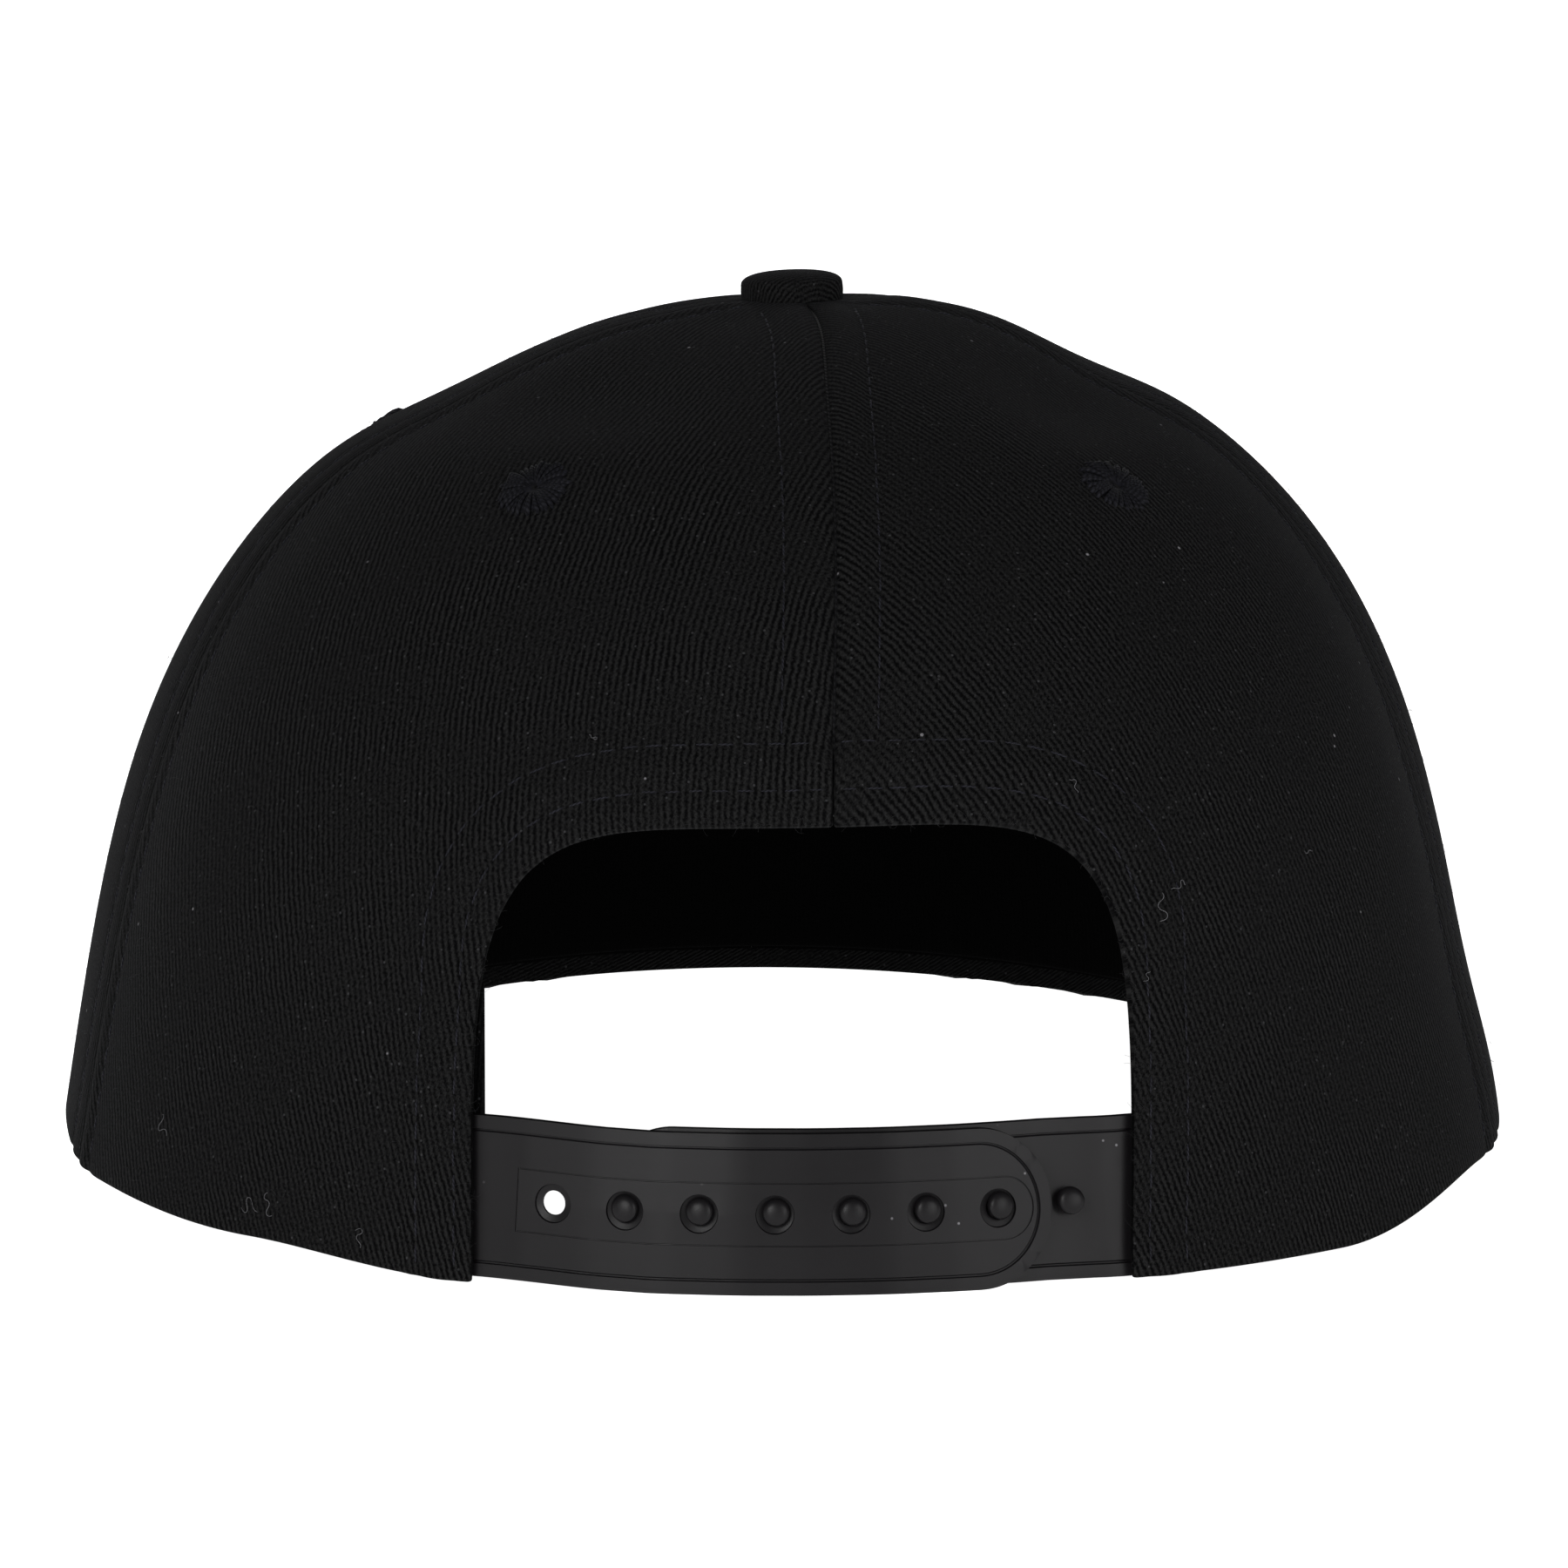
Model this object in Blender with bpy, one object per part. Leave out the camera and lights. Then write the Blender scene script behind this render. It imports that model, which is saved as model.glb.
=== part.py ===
"""Snapback cap: six cloth panels, a button, stitched eyelets, a sweatband, a curved brim
and a two-piece snap strap across an arched opening at the back.

Metres, +Z up. The brim points to -Y, the opening and strap to +Y, the wearer's left is +X.
The cap rests on the strap's foot and the brim's edge; the origin is under the middle of its box.
"""

import math

import bmesh
import bpy
from mathutils import Matrix, Vector

# Crown, measured on the outside of the cloth
CROWN_HALF_WIDTH = 0.0905
CROWN_HALF_LENGTH = 0.0940
CROWN_HEIGHT = 0.1098
CLOTH_THICKNESS = 0.0014
PANEL_BULGE = 0.0022
PANEL_GAP = 0.0003
TIP_RADIUS = 0.0026
TOP_FORWARD = 0.0125
TOP_SIDEWAYS = -0.0029

# How the crown draws in with height, by the side it faces
BACK = dict(lean=0.20, squareness=3.4)
SIDE = dict(lean=0.23, squareness=4.3)
FRONT = dict(lean=0.12, squareness=4.6)
HEM_ROUNDNESS = 2.25
TOP_ROUNDNESS = 2.0

# Seams in degrees from the middle of the back, the wearer's left positive; turn is what
# a seam gains by the top. Each panel runs from the seam in its row to the next.
PANELS = (
    dict(name="panel_back_left", foot=-2.5, turn=0.0, eyelet_at=35.9),
    dict(name="panel_side_left", foot=74.0, turn=9.0, eyelet_at=115.0),
    dict(name="panel_front_left", foot=126.0, turn=2.0, eyelet_at=154.0),
    dict(name="panel_front_right", foot=180.0, turn=0.0, eyelet_at=206.0),
    dict(name="panel_side_right", foot=234.0, turn=-2.0, eyelet_at=249.0),
    dict(name="panel_back_right", foot=286.0, turn=-9.0, eyelet_at=316.5),
)
PANEL_COLUMNS = 10
PANEL_ROWS = 15

# Soft folds and flats: where, how wide, how deep (inward is minus)
DENTS = (
    dict(angle=38.0, height=0.93, wide=26.0, tall=0.060, depth=-0.0022),
    dict(angle=34.0, height=0.84, wide=20.0, tall=0.035, depth=0.0009),
    dict(angle=-56.0, height=0.90, wide=20.0, tall=0.050, depth=-0.0022),
    dict(angle=-84.0, height=0.980, wide=50.0, tall=0.030, depth=0.0010),
    dict(angle=94.0, height=0.90, wide=34.0, tall=0.070, depth=-0.0022),
    dict(angle=-94.0, height=0.92, wide=26.0, tall=0.040, depth=-0.0012),
    dict(angle=-84.0, height=0.03, wide=26.0, tall=0.120, depth=0.0014),
    dict(angle=116.0, height=0.62, wide=16.0, tall=0.160, depth=-0.0014),
    dict(angle=-118.0, height=0.70, wide=14.0, tall=0.140, depth=-0.0012),
    dict(angle=172.0, height=0.90, wide=30.0, tall=0.060, depth=-0.0012),
)

# Hem height above the floor, behind the brim's corners
HEM = (
    dict(angle=0.0, left=0.0004, right=0.0004),
    dict(angle=25.0, left=0.0004, right=0.0004),
    dict(angle=45.0, left=0.0030, right=0.0007),
    dict(angle=68.0, left=0.0045, right=0.0058),
    dict(angle=90.0, left=0.0084, right=0.0084),
)
BRIM_CORNER_ANGLE = 114.0

# Brim
BRIM_LENGTH = 0.070
BRIM_HALF_WIDTH = 0.0890
BRIM_THICKNESS = 0.0028
BRIM_EDGE = 0.0008
BRIM_SLOPE = 4.5
BRIM_BEND_RADIUS = 0.320
BRIM_ROUNDNESS = 2.3
BRIM_GAP = 0.0004
BRIM_COLUMNS = 36

# Opening at the back
OPENING_HALF_WIDTH = 0.0396
OPENING_HEIGHT = 0.0539
OPENING_ROUNDNESS = dict(left=4.8, right=5.2)
OPENING_STEPS = 32

# Sweatband, inside the hem
BAND_HEIGHT = 0.034
BAND_LIFT = 0.0006
BAND_THICKNESS = 0.0012
BAND_DEPTH = 0.0019
BAND_DEPTH_AT_STRAP = 0.0036
BAND_LEFT_END = 0.0381
BAND_RIGHT_END = -0.0430
BAND_COLUMNS = 56

# Snap strap
STRAP_HEIGHT = 0.0190
STRAP_THICKNESS = 0.0012
STRAP_DEPTH = 0.0019
STRAP_GAP = 0.0003
STRAP_BELLY = 0.0034
STRAP_BELLY_ANGLE = 26.0
STRAP_TUCK = 0.0460
STRAP_END_LEFT = 0.0256
STRAP_END_RIGHT = -0.0298
PEG_STRAP_LIFT = 0.0003
PEG_STRAP_STEP = dict(start=-0.0310, finish=-0.0400)
HOLE_FIRST = 0.0298
HOLE_PITCH = 0.0090
HOLE_COUNT = 7
HOLE_RADIUS = 0.00145
RECESS_RADIUS = 0.00205
RECESS_DEPTH = 0.0005
NECK_RADIUS = 0.00115
HEAD_RADIUS = 0.00165
HEAD_RISE = 0.0006

# Button and eyelets
BUTTON_RADIUS = 0.0065
BUTTON_HEIGHT = 0.0031
BUTTON_STEM_RADIUS = 0.0017
BUTTON_STEM_DEPTH = 0.0024
BUTTON_TILT = 2.0
BUTTON_GAP = 0.0004
EYELET_HEIGHT_SHARE = 0.812
EYELET_RADIUS = 0.0043
EYELET_HOLE_RADIUS = 0.0009
EYELET_RISE = 0.0008
EYELET_COLLAR_RADIUS = 0.0020
EYELET_CLEARANCE = 0.0004


def fresh_file():
    for thing in list(bpy.data.objects):
        bpy.data.objects.remove(thing, do_unlink=True)


def material(name, colour, roughness):
    made = bpy.data.materials.new(name)
    made.use_nodes = True
    shader = made.node_tree.nodes["Principled BSDF"]
    shader.inputs["Base Color"].default_value = (*colour, 1.0)
    shader.inputs["Roughness"].default_value = roughness
    return made


def keep(mesh, name, surface, smooth=True):
    """Turn a bmesh into a named object with its own material."""
    bmesh.ops.recalc_face_normals(mesh, faces=mesh.faces)
    if mesh.calc_volume(signed=True) < 0.0:
        bmesh.ops.reverse_faces(mesh, faces=mesh.faces)
    data = bpy.data.meshes.new(name)
    mesh.to_mesh(data)
    mesh.free()
    if smooth:
        data.polygons.foreach_set("use_smooth", [True] * len(data.polygons))
        data.set_sharp_from_angle(angle=math.radians(35.0))
    data.materials.append(surface)
    thing = bpy.data.objects.new(name, data)
    bpy.context.collection.objects.link(thing)
    return thing


def cut(thing, tool, operation="DIFFERENCE"):
    """Apply one exact Boolean and drop the tool."""
    tool.hide_render = True
    tool.display_type = "WIRE"
    step = thing.modifiers.new("cut", "BOOLEAN")
    step.operation = operation
    step.solver = "EXACT"
    step.object = tool
    bpy.ops.object.select_all(action="DESELECT")
    bpy.context.view_layer.objects.active = thing
    thing.select_set(True)
    bpy.ops.object.modifier_apply(modifier=step.name)
    bpy.data.objects.remove(tool, do_unlink=True)


def ease(share):
    share = min(max(share, 0.0), 1.0)
    return share * share * (3.0 - 2.0 * share)


def signed(angle):
    """Degrees from the back, -180 to 180."""
    return (angle + 180.0) % 360.0 - 180.0


# The crown's surface

def spread(angle, roundness):
    """Reach of a rounded square at an angle; roundness 2 is a circle."""
    s, c = abs(math.sin(angle)), abs(math.cos(angle))
    return (s ** roundness + c ** roundness) ** (-1.0 / roundness)


def hem_plan(angle):
    """Where the hem's outside lies in plan."""
    turn = math.radians(angle)
    reach = spread(turn, HEM_ROUNDNESS)
    return CROWN_HALF_WIDTH * reach * math.sin(turn), CROWN_HALF_LENGTH * reach * math.cos(turn)


def brim_drop(x, y):
    """How far the brim's top has fallen from the middle of the front rim."""
    slope = math.tan(math.radians(BRIM_SLOPE))
    return -slope * (y + CROWN_HALF_LENGTH) + x * x / (2.0 * BRIM_BEND_RADIUS)


def brim_outline(share):
    """The brim's outer edge, share 0 to 1 from the left corner to the right."""
    turn = math.pi * share
    s, c = math.sin(turn), math.cos(turn)
    back = hem_plan(BRIM_CORNER_ANGLE)[1]
    length = CROWN_HALF_LENGTH + BRIM_LENGTH + back
    x = BRIM_HALF_WIDTH * math.copysign(abs(c) ** (2.0 / BRIM_ROUNDNESS), c)
    return x, back - length * s ** (2.0 / BRIM_ROUNDNESS)


def front_rim_height():
    """Height of the brim's top at the front rim when its lowest edge is on the floor."""
    return BRIM_THICKNESS + max(brim_drop(*brim_outline(i / 80.0)) for i in range(81))


def brim_top(x, y):
    return front_rim_height() - brim_drop(x, y)


def hem_height(angle):
    angle = signed(angle)
    x, y = hem_plan(angle)
    if abs(angle) >= BRIM_CORNER_ANGLE:
        return brim_top(x, y) + BRIM_GAP
    side = "left" if angle >= 0.0 else "right"
    x, y = hem_plan(math.copysign(BRIM_CORNER_ANGLE, angle))
    marks = [(row["angle"], row[side]) for row in HEM]
    marks.append((BRIM_CORNER_ANGLE, brim_top(x, y) + BRIM_GAP))
    for (a, low), (b, high) in zip(marks, marks[1:]):
        if abs(angle) <= b:
            return low + (high - low) * ease((abs(angle) - a) / (b - a))
    return marks[-1][1]


def shell(angle, height):
    """Smooth outside of the crown. Height is the share of the way from hem to top."""
    turn = math.radians(angle)
    s, c = math.sin(turn), math.cos(turn)
    weights = ((BACK, max(c, 0.0) ** 2), (FRONT, max(-c, 0.0) ** 2), (SIDE, s * s))
    lean = sum(row["lean"] * weight for row, weight in weights)
    square = sum(row["squareness"] * weight for row, weight in weights)
    up = min(max(height, 0.0), 1.0)
    reach = (1.0 - lean * height) * math.sqrt(1.0 - up ** square)
    reach *= spread(turn, HEM_ROUNDNESS + (TOP_ROUNDNESS - HEM_ROUNDNESS) * up)
    x = CROWN_HALF_WIDTH * reach * s + TOP_SIDEWAYS * up * up
    y = CROWN_HALF_LENGTH * reach * c - TOP_FORWARD * up * up
    foot = hem_height(angle)
    return Vector((x, y, foot + (CROWN_HEIGHT - foot) * height))


def facing(angle, height):
    """Outward direction; level at the hem so that the hem's foot is flat."""
    height = min(height, 0.995)
    across = shell(angle + 0.5, height) - shell(angle - 0.5, height)
    upward = shell(angle, height + 0.002) - shell(angle, height - 0.002)
    out = across.cross(upward)
    if out.dot(shell(angle, height) - Vector((0.0, 0.0, CROWN_HEIGHT / 3.0))) < 0.0:
        out.negate()
    out.normalize()
    out.z *= ease(height / 0.10)
    return out.normalized()


def swell(height):
    return PANEL_BULGE * math.sin(math.pi * min(max(height, 0.0), 1.0))


def seam_angle(number, height):
    """Where a seam stands at a height; the seam after the last is the first, a turn on."""
    row = PANELS[number % len(PANELS)]
    return row["foot"] + row["turn"] * height + 360.0 * (number // len(PANELS))


def panel_share(angle, height):
    """How far across its panel an angle lies, 0 to 1."""
    start = seam_angle(0, height)
    angle = (angle - start) % 360.0 + start
    for number in range(len(PANELS)):
        first, last = seam_angle(number, height), seam_angle(number + 1, height)
        if first <= angle <= last:
            return (angle - first) / (last - first)
    return 0.0


def lift(angle, height):
    """Height of the bulge, folds and flats over the smooth crown."""
    folds = 0.0
    for row in DENTS:
        across = signed(angle - row["angle"]) / row["wide"]
        up = (height - row["height"]) / row["tall"]
        folds += row["depth"] * math.exp(-across * across - up * up)
    bulge = swell(height) * math.sin(math.pi * panel_share(angle, height))
    return bulge + folds * ease((1.0 - height) / 0.012)


def cloth(angle, height, depth=0.0):
    """A point in the cloth, depth measured inward from the outside."""
    return shell(angle, height) + facing(angle, height) * (lift(angle, height) - depth)


def rows_up(count):
    """Height shares that step evenly along the crown from hem to panel tip."""
    marks = [1.0 - (1.0 - i / 600.0) ** 2 for i in range(601)]
    tip = next(m for m in marks if shell(90.0, m).x - TOP_SIDEWAYS * m * m < TIP_RADIUS)
    marks = [m for m in marks if m <= tip]
    points = [shell(90.0, m) for m in marks]
    run = [0.0]
    for a, b in zip(points, points[1:]):
        run.append(run[-1] + (b - a).length)
    out = []
    for step in range(count + 1):
        want = run[-1] * step / count
        at = min(range(len(run)), key=lambda i: abs(run[i] - want))
        out.append(marks[at])
    return out


def shell_of_rows(outside, inside):
    """Close two equal grids of points into one body."""
    mesh = bmesh.new()
    out = [[mesh.verts.new(p) for p in row] for row in outside]
    inn = [[mesh.verts.new(p) for p in row] for row in inside]
    rows, columns = len(out) - 1, len(out[0]) - 1
    for j in range(rows):
        for i in range(columns):
            mesh.faces.new((out[j][i], out[j][i + 1], out[j + 1][i + 1], out[j + 1][i]))
            mesh.faces.new((inn[j][i], inn[j + 1][i], inn[j + 1][i + 1], inn[j][i + 1]))
    for i in range(columns):
        mesh.faces.new((out[0][i], inn[0][i], inn[0][i + 1], out[0][i + 1]))
        mesh.faces.new((out[rows][i], out[rows][i + 1], inn[rows][i + 1], inn[rows][i]))
    for j in range(rows):
        mesh.faces.new((out[j][0], out[j + 1][0], inn[j + 1][0], inn[j][0]))
        mesh.faces.new((out[j][columns], inn[j][columns], inn[j + 1][columns], out[j + 1][columns]))
    return mesh


def turned_body(profile, steps, hollow=False):
    """Revolve (radius, height) points about Z. A solid profile starts and ends on the axis."""
    mesh = bmesh.new()
    rings = []
    for radius, z in profile:
        if radius == 0.0:
            rings.append([mesh.verts.new((0.0, 0.0, z))] * steps)
            continue
        ring = []
        for i in range(steps):
            turn = 2.0 * math.pi * i / steps
            ring.append(mesh.verts.new((radius * math.cos(turn), radius * math.sin(turn), z)))
        rings.append(ring)
    pairs = list(zip(rings, rings[1:]))
    if hollow:
        pairs.append((rings[-1], rings[0]))
    for low, high in pairs:
        for i in range(steps):
            k = (i + 1) % steps
            corners = []
            for v in (low[i], low[k], high[k], high[i]):
                if v not in corners:
                    corners.append(v)
            if len(corners) > 2:
                mesh.faces.new(corners)
    return mesh


def stand_on(point, out):
    """Placement with Z along a direction."""
    return Matrix.Translation(point) @ out.to_track_quat("Z", "Y").to_matrix().to_4x4()


# Crown panels

def make_panel(number, heights, surface):
    outside, inside = [], []
    for height in heights:
        line_out, line_in = [], []
        ends = []
        for turned, sign in ((number, 1.0), (number + 1, -1.0)):
            seam = seam_angle(turned, height)
            spot = shell(seam, height)
            top = Vector((TOP_SIDEWAYS * height * height, -TOP_FORWARD * height * height, spot.z))
            ends.append(seam + sign * math.degrees(PANEL_GAP / 2.0 / (spot - top).length))
        for i in range(PANEL_COLUMNS + 1):
            angle = ends[0] + (ends[1] - ends[0]) * i / PANEL_COLUMNS
            line_out.append(cloth(angle, height))
            line_in.append(cloth(angle, height, CLOTH_THICKNESS))
        outside.append(line_out)
        inside.append(line_in)
    return keep(shell_of_rows(outside, inside), PANELS[number]["name"], surface)


def opening_tool():
    """A prism through the back wall with the opening's outline."""
    mesh = bmesh.new()
    outline = [(OPENING_HALF_WIDTH, -0.010)]
    for i in range(OPENING_STEPS + 1):
        turn = math.pi * i / OPENING_STEPS
        s, c = math.sin(turn), math.cos(turn)
        power = 2.0 / OPENING_ROUNDNESS["left" if c > 0.0 else "right"]
        x = OPENING_HALF_WIDTH * math.copysign(abs(c) ** power, c)
        outline.append((x, OPENING_HEIGHT * s ** power))
    outline.append((-OPENING_HALF_WIDTH, -0.010))
    near = [mesh.verts.new((x, CROWN_HALF_LENGTH * 0.4, z)) for x, z in outline]
    far = [mesh.verts.new((x, CROWN_HALF_LENGTH * 1.4, z)) for x, z in outline]
    mesh.faces.new(near)
    mesh.faces.new(list(reversed(far)))
    for i in range(len(outline)):
        k = (i + 1) % len(outline)
        mesh.faces.new((near[k], near[i], far[i], far[k]))
    bmesh.ops.remove_doubles(mesh, verts=mesh.verts, dist=0.00001)
    return keep(mesh, "opening_tool", bpy.data.materials[0], smooth=False)


def eyelet_place(row):
    angle = row["eyelet_at"]
    return stand_on(cloth(angle, EYELET_HEIGHT_SHARE), facing(angle, EYELET_HEIGHT_SHARE))


def eyelet_hole_tool(row):
    radius = EYELET_COLLAR_RADIUS + EYELET_CLEARANCE
    profile = ((0.0, -0.006), (radius, -0.006), (radius, 0.006), (0.0, 0.006))
    mesh = turned_body(profile, 16)
    bmesh.ops.transform(mesh, matrix=eyelet_place(row), verts=mesh.verts)
    return keep(mesh, "hole_tool", bpy.data.materials[0], smooth=False)


def make_eyelet(row, surface):
    gap = EYELET_CLEARANCE
    profile = (
        (EYELET_HOLE_RADIUS, -CLOTH_THICKNESS - gap),
        (EYELET_COLLAR_RADIUS, -CLOTH_THICKNESS - gap),
        (EYELET_COLLAR_RADIUS, gap),
        (EYELET_RADIUS * 0.95, gap),
        (EYELET_RADIUS, gap + EYELET_RISE * 0.4),
        (EYELET_RADIUS * 0.84, gap + EYELET_RISE * 0.92),
        (EYELET_RADIUS * 0.55, gap + EYELET_RISE),
        (EYELET_HOLE_RADIUS * 1.5, gap + EYELET_RISE * 0.6),
    )
    mesh = turned_body(profile, 18, hollow=True)
    bmesh.ops.transform(mesh, matrix=eyelet_place(row), verts=mesh.verts)
    name = row["name"].replace("panel", "eyelet")
    return keep(mesh, name, surface)


def make_button(surface):
    r, z = BUTTON_RADIUS, BUTTON_HEIGHT
    profile = (
        (0.0, -BUTTON_STEM_DEPTH),
        (BUTTON_STEM_RADIUS, -BUTTON_STEM_DEPTH),
        (BUTTON_STEM_RADIUS, 0.0),
        (r * 0.93, 0.0),
        (r, z * 0.13),
        (r * 0.985, z * 0.36),
        (r * 0.88, z * 0.66),
        (r * 0.68, z * 0.86),
        (r * 0.38, z * 0.97),
        (0.0, z),
    )
    mesh = turned_body(profile, 28)
    place = Matrix.Translation((TOP_SIDEWAYS, -TOP_FORWARD, CROWN_HEIGHT + BUTTON_GAP))
    place = place @ Matrix.Rotation(math.radians(BUTTON_TILT), 4, "Y")
    bmesh.ops.transform(mesh, matrix=place, verts=mesh.verts)
    return keep(mesh, "button", surface)


# Brim: a bent plate from the front rim to its outer edge

def make_brim(surface):
    loops = []
    for i in range(BRIM_COLUMNS + 1):
        share = i / BRIM_COLUMNS
        angle = BRIM_CORNER_ANGLE + (360.0 - 2.0 * BRIM_CORNER_ANGLE) * share
        inner = Vector((*hem_plan(angle), 0.0))
        inner *= 1.0 - CLOTH_THICKNESS / inner.length
        outer = Vector((*brim_outline(share), 0.0))
        run = outer - inner
        inset = min(BRIM_EDGE / run.length, 0.3)
        loop = []
        for along in (0.0, 0.25, 0.5, 0.75, 1.0 - inset):
            spot = inner + run * along
            loop.append((spot.x, spot.y, brim_top(spot.x, spot.y)))
        middle = brim_top(outer.x, outer.y) - BRIM_THICKNESS / 2.0
        loop.append((outer.x, outer.y, middle + BRIM_EDGE / 2.0))
        loop.append((outer.x, outer.y, middle - BRIM_EDGE / 2.0))
        for along in (1.0 - inset, 0.75, 0.5, 0.25, 0.0):
            spot = inner + run * along
            loop.append((spot.x, spot.y, brim_top(spot.x, spot.y) - BRIM_THICKNESS))
        loops.append(loop)
    mesh = bmesh.new()
    rings = [[mesh.verts.new(p) for p in loop] for loop in loops]
    for low, high in zip(rings, rings[1:]):
        for i in range(len(low)):
            k = (i + 1) % len(low)
            mesh.faces.new((low[i], low[k], high[k], high[i]))
    mesh.faces.new(rings[0])
    mesh.faces.new(list(reversed(rings[-1])))
    return keep(mesh, "brim", surface)


# Sweatband: a strip that follows the hem from one side of the opening to the other

def band_depth(angle):
    away = abs(signed(angle))
    return BAND_DEPTH_AT_STRAP + (BAND_DEPTH - BAND_DEPTH_AT_STRAP) * ease((away - 39.0) / 10.0)


def level_cloth(angle, z, depth, bulge):
    """A point inside the crown at a height above the floor, depth measured level."""
    foot = hem_height(angle)
    height = (z - foot) / (CROWN_HEIGHT - foot)
    out = facing(angle, height)
    out.z = 0.0
    out.normalize()
    return shell(angle, height) + out * (bulge(angle, height) - depth)


def band_end(x, z):
    """The angle at which the band stands a given way to the side."""
    low, high = 0.0, 60.0
    for _ in range(30):
        middle = (low + high) / 2.0
        at = level_cloth(math.copysign(middle, x), z, BAND_DEPTH_AT_STRAP, lift).x
        low, high = (middle, high) if abs(at) < abs(x) else (low, middle)
    return math.copysign(low, x)


def make_band(surface):
    outside, inside = [], []
    for j in range(4):
        line_out, line_in = [], []
        rise = BAND_LIFT + BAND_HEIGHT * j / 3.0
        first, last = band_end(BAND_LEFT_END, rise), 360.0 + band_end(BAND_RIGHT_END, rise)
        for i in range(BAND_COLUMNS + 1):
            angle = first + (last - first) * i / BAND_COLUMNS
            z = hem_height(angle) + rise
            depth = band_depth(angle)
            line_out.append(level_cloth(angle, z, depth, lift))
            line_in.append(level_cloth(angle, z, depth + BAND_THICKNESS, lift))
        outside.append(line_out)
        inside.append(line_in)
    return keep(shell_of_rows(outside, inside), "sweatband", surface)


# Snap strap: flat plates with holes or pegs, then bent to the crown's back

def strap_turns():
    """Angle against run along the strap, both from the middle of the back."""
    marks = [i * 0.5 - 45.0 for i in range(181)]
    points = [level_cloth(a, STRAP_HEIGHT / 2.0, STRAP_DEPTH, strap_bulge) for a in marks]
    run = [0.0]
    for a, b in zip(points, points[1:]):
        run.append(run[-1] + (b - a).length)
    middle = run[len(run) // 2]
    return marks, [r - middle for r in run]


def strap_bulge(angle, height):
    """The strap follows the panels' bulge and bellies out a little across the opening."""
    share = min(abs(angle) / STRAP_BELLY_ANGLE, 1.0)
    return swell(height) + STRAP_BELLY * (1.0 - share * share) ** 2


def bend(mesh, table, depth_at):
    """Lay flat (run, height, depth) points along the crown."""
    marks, runs = table
    for v in mesh.verts:
        run, z, depth = v.co
        k = next((i for i in range(1, len(runs)) if runs[i] >= run), len(runs) - 1)
        share = (run - runs[k - 1]) / (runs[k] - runs[k - 1])
        angle = marks[k - 1] + (marks[k] - marks[k - 1]) * share
        v.co = level_cloth(angle, z, depth_at(run) + depth, strap_bulge)


def strap_plate(root, end, foot):
    """A strip from its hidden root to its rounded end, in (run, height, depth)."""
    mesh = bmesh.new()
    half = STRAP_HEIGHT / 2.0
    toward = math.copysign(1.0, end - root)
    outline = [(root, foot + STRAP_HEIGHT), (root, foot)]
    for i in range(17):
        turn = math.pi * i / 16.0
        run = end - toward * half + toward * half * math.sin(turn)
        outline.append((run, foot + half - half * math.cos(turn)))
    near = [mesh.verts.new((run, z, 0.0)) for run, z in outline]
    far = [mesh.verts.new((run, z, STRAP_THICKNESS)) for run, z in outline]
    mesh.faces.new(near)
    mesh.faces.new(list(reversed(far)))
    for i in range(len(outline)):
        k = (i + 1) % len(outline)
        mesh.faces.new((near[k], near[i], far[i], far[k]))
    for k in range(-4, 11):
        at = HOLE_FIRST - HOLE_PITCH * (k - 0.5)
        if min(root, end) + 0.002 < at < max(root, end) - 0.002:
            bmesh.ops.bisect_plane(
                mesh,
                geom=mesh.verts[:] + mesh.edges[:] + mesh.faces[:],
                plane_co=(at, 0.0, 0.0),
                plane_no=(1.0, 0.0, 0.0),
            )
    return mesh


def along_depth(profile, run, z, steps):
    """A turned body whose axis runs through the strap's thickness."""
    mesh = turned_body(profile, steps)
    place = Matrix.Translation((run, z, 0.0))
    bmesh.ops.transform(mesh, matrix=place, verts=mesh.verts)
    return mesh


def shaped_strap(name, plate, bodies, operation, depth_at, surface):
    thing = keep(plate, name, surface, smooth=False)
    for body in bodies:
        cut(thing, keep(body, "strap_tool", surface, smooth=False), operation)
    mesh = bmesh.new()
    mesh.from_mesh(thing.data)
    bpy.data.objects.remove(thing, do_unlink=True)
    bmesh.ops.triangulate(mesh, faces=mesh.faces)
    bend(mesh, strap_turns(), depth_at)
    return keep(mesh, name, surface)


def hole_runs():
    return [HOLE_FIRST - HOLE_PITCH * i for i in range(HOLE_COUNT)]


def make_hole_strap(surface):
    middle = STRAP_HEIGHT / 2.0
    profile = (
        (0.0, -0.001),
        (RECESS_RADIUS, -0.001),
        (RECESS_RADIUS, RECESS_DEPTH),
        (HOLE_RADIUS, RECESS_DEPTH),
        (HOLE_RADIUS, STRAP_THICKNESS + 0.001),
        (0.0, STRAP_THICKNESS + 0.001),
    )
    tools = [along_depth(profile, run, middle, 16) for run in hole_runs()]
    plate = strap_plate(STRAP_TUCK, STRAP_END_RIGHT, 0.0)
    return shaped_strap(
        "snap_strap_holes", plate, tools, "DIFFERENCE", lambda run: STRAP_DEPTH, surface
    )


def peg_strap_depth(run):
    """The strap passes behind the other, then comes forward to its root."""
    behind = STRAP_DEPTH + STRAP_THICKNESS + STRAP_GAP
    start, finish = PEG_STRAP_STEP["start"], PEG_STRAP_STEP["finish"]
    return behind + (STRAP_DEPTH - behind) * ease((run - start) / (finish - start))


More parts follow.
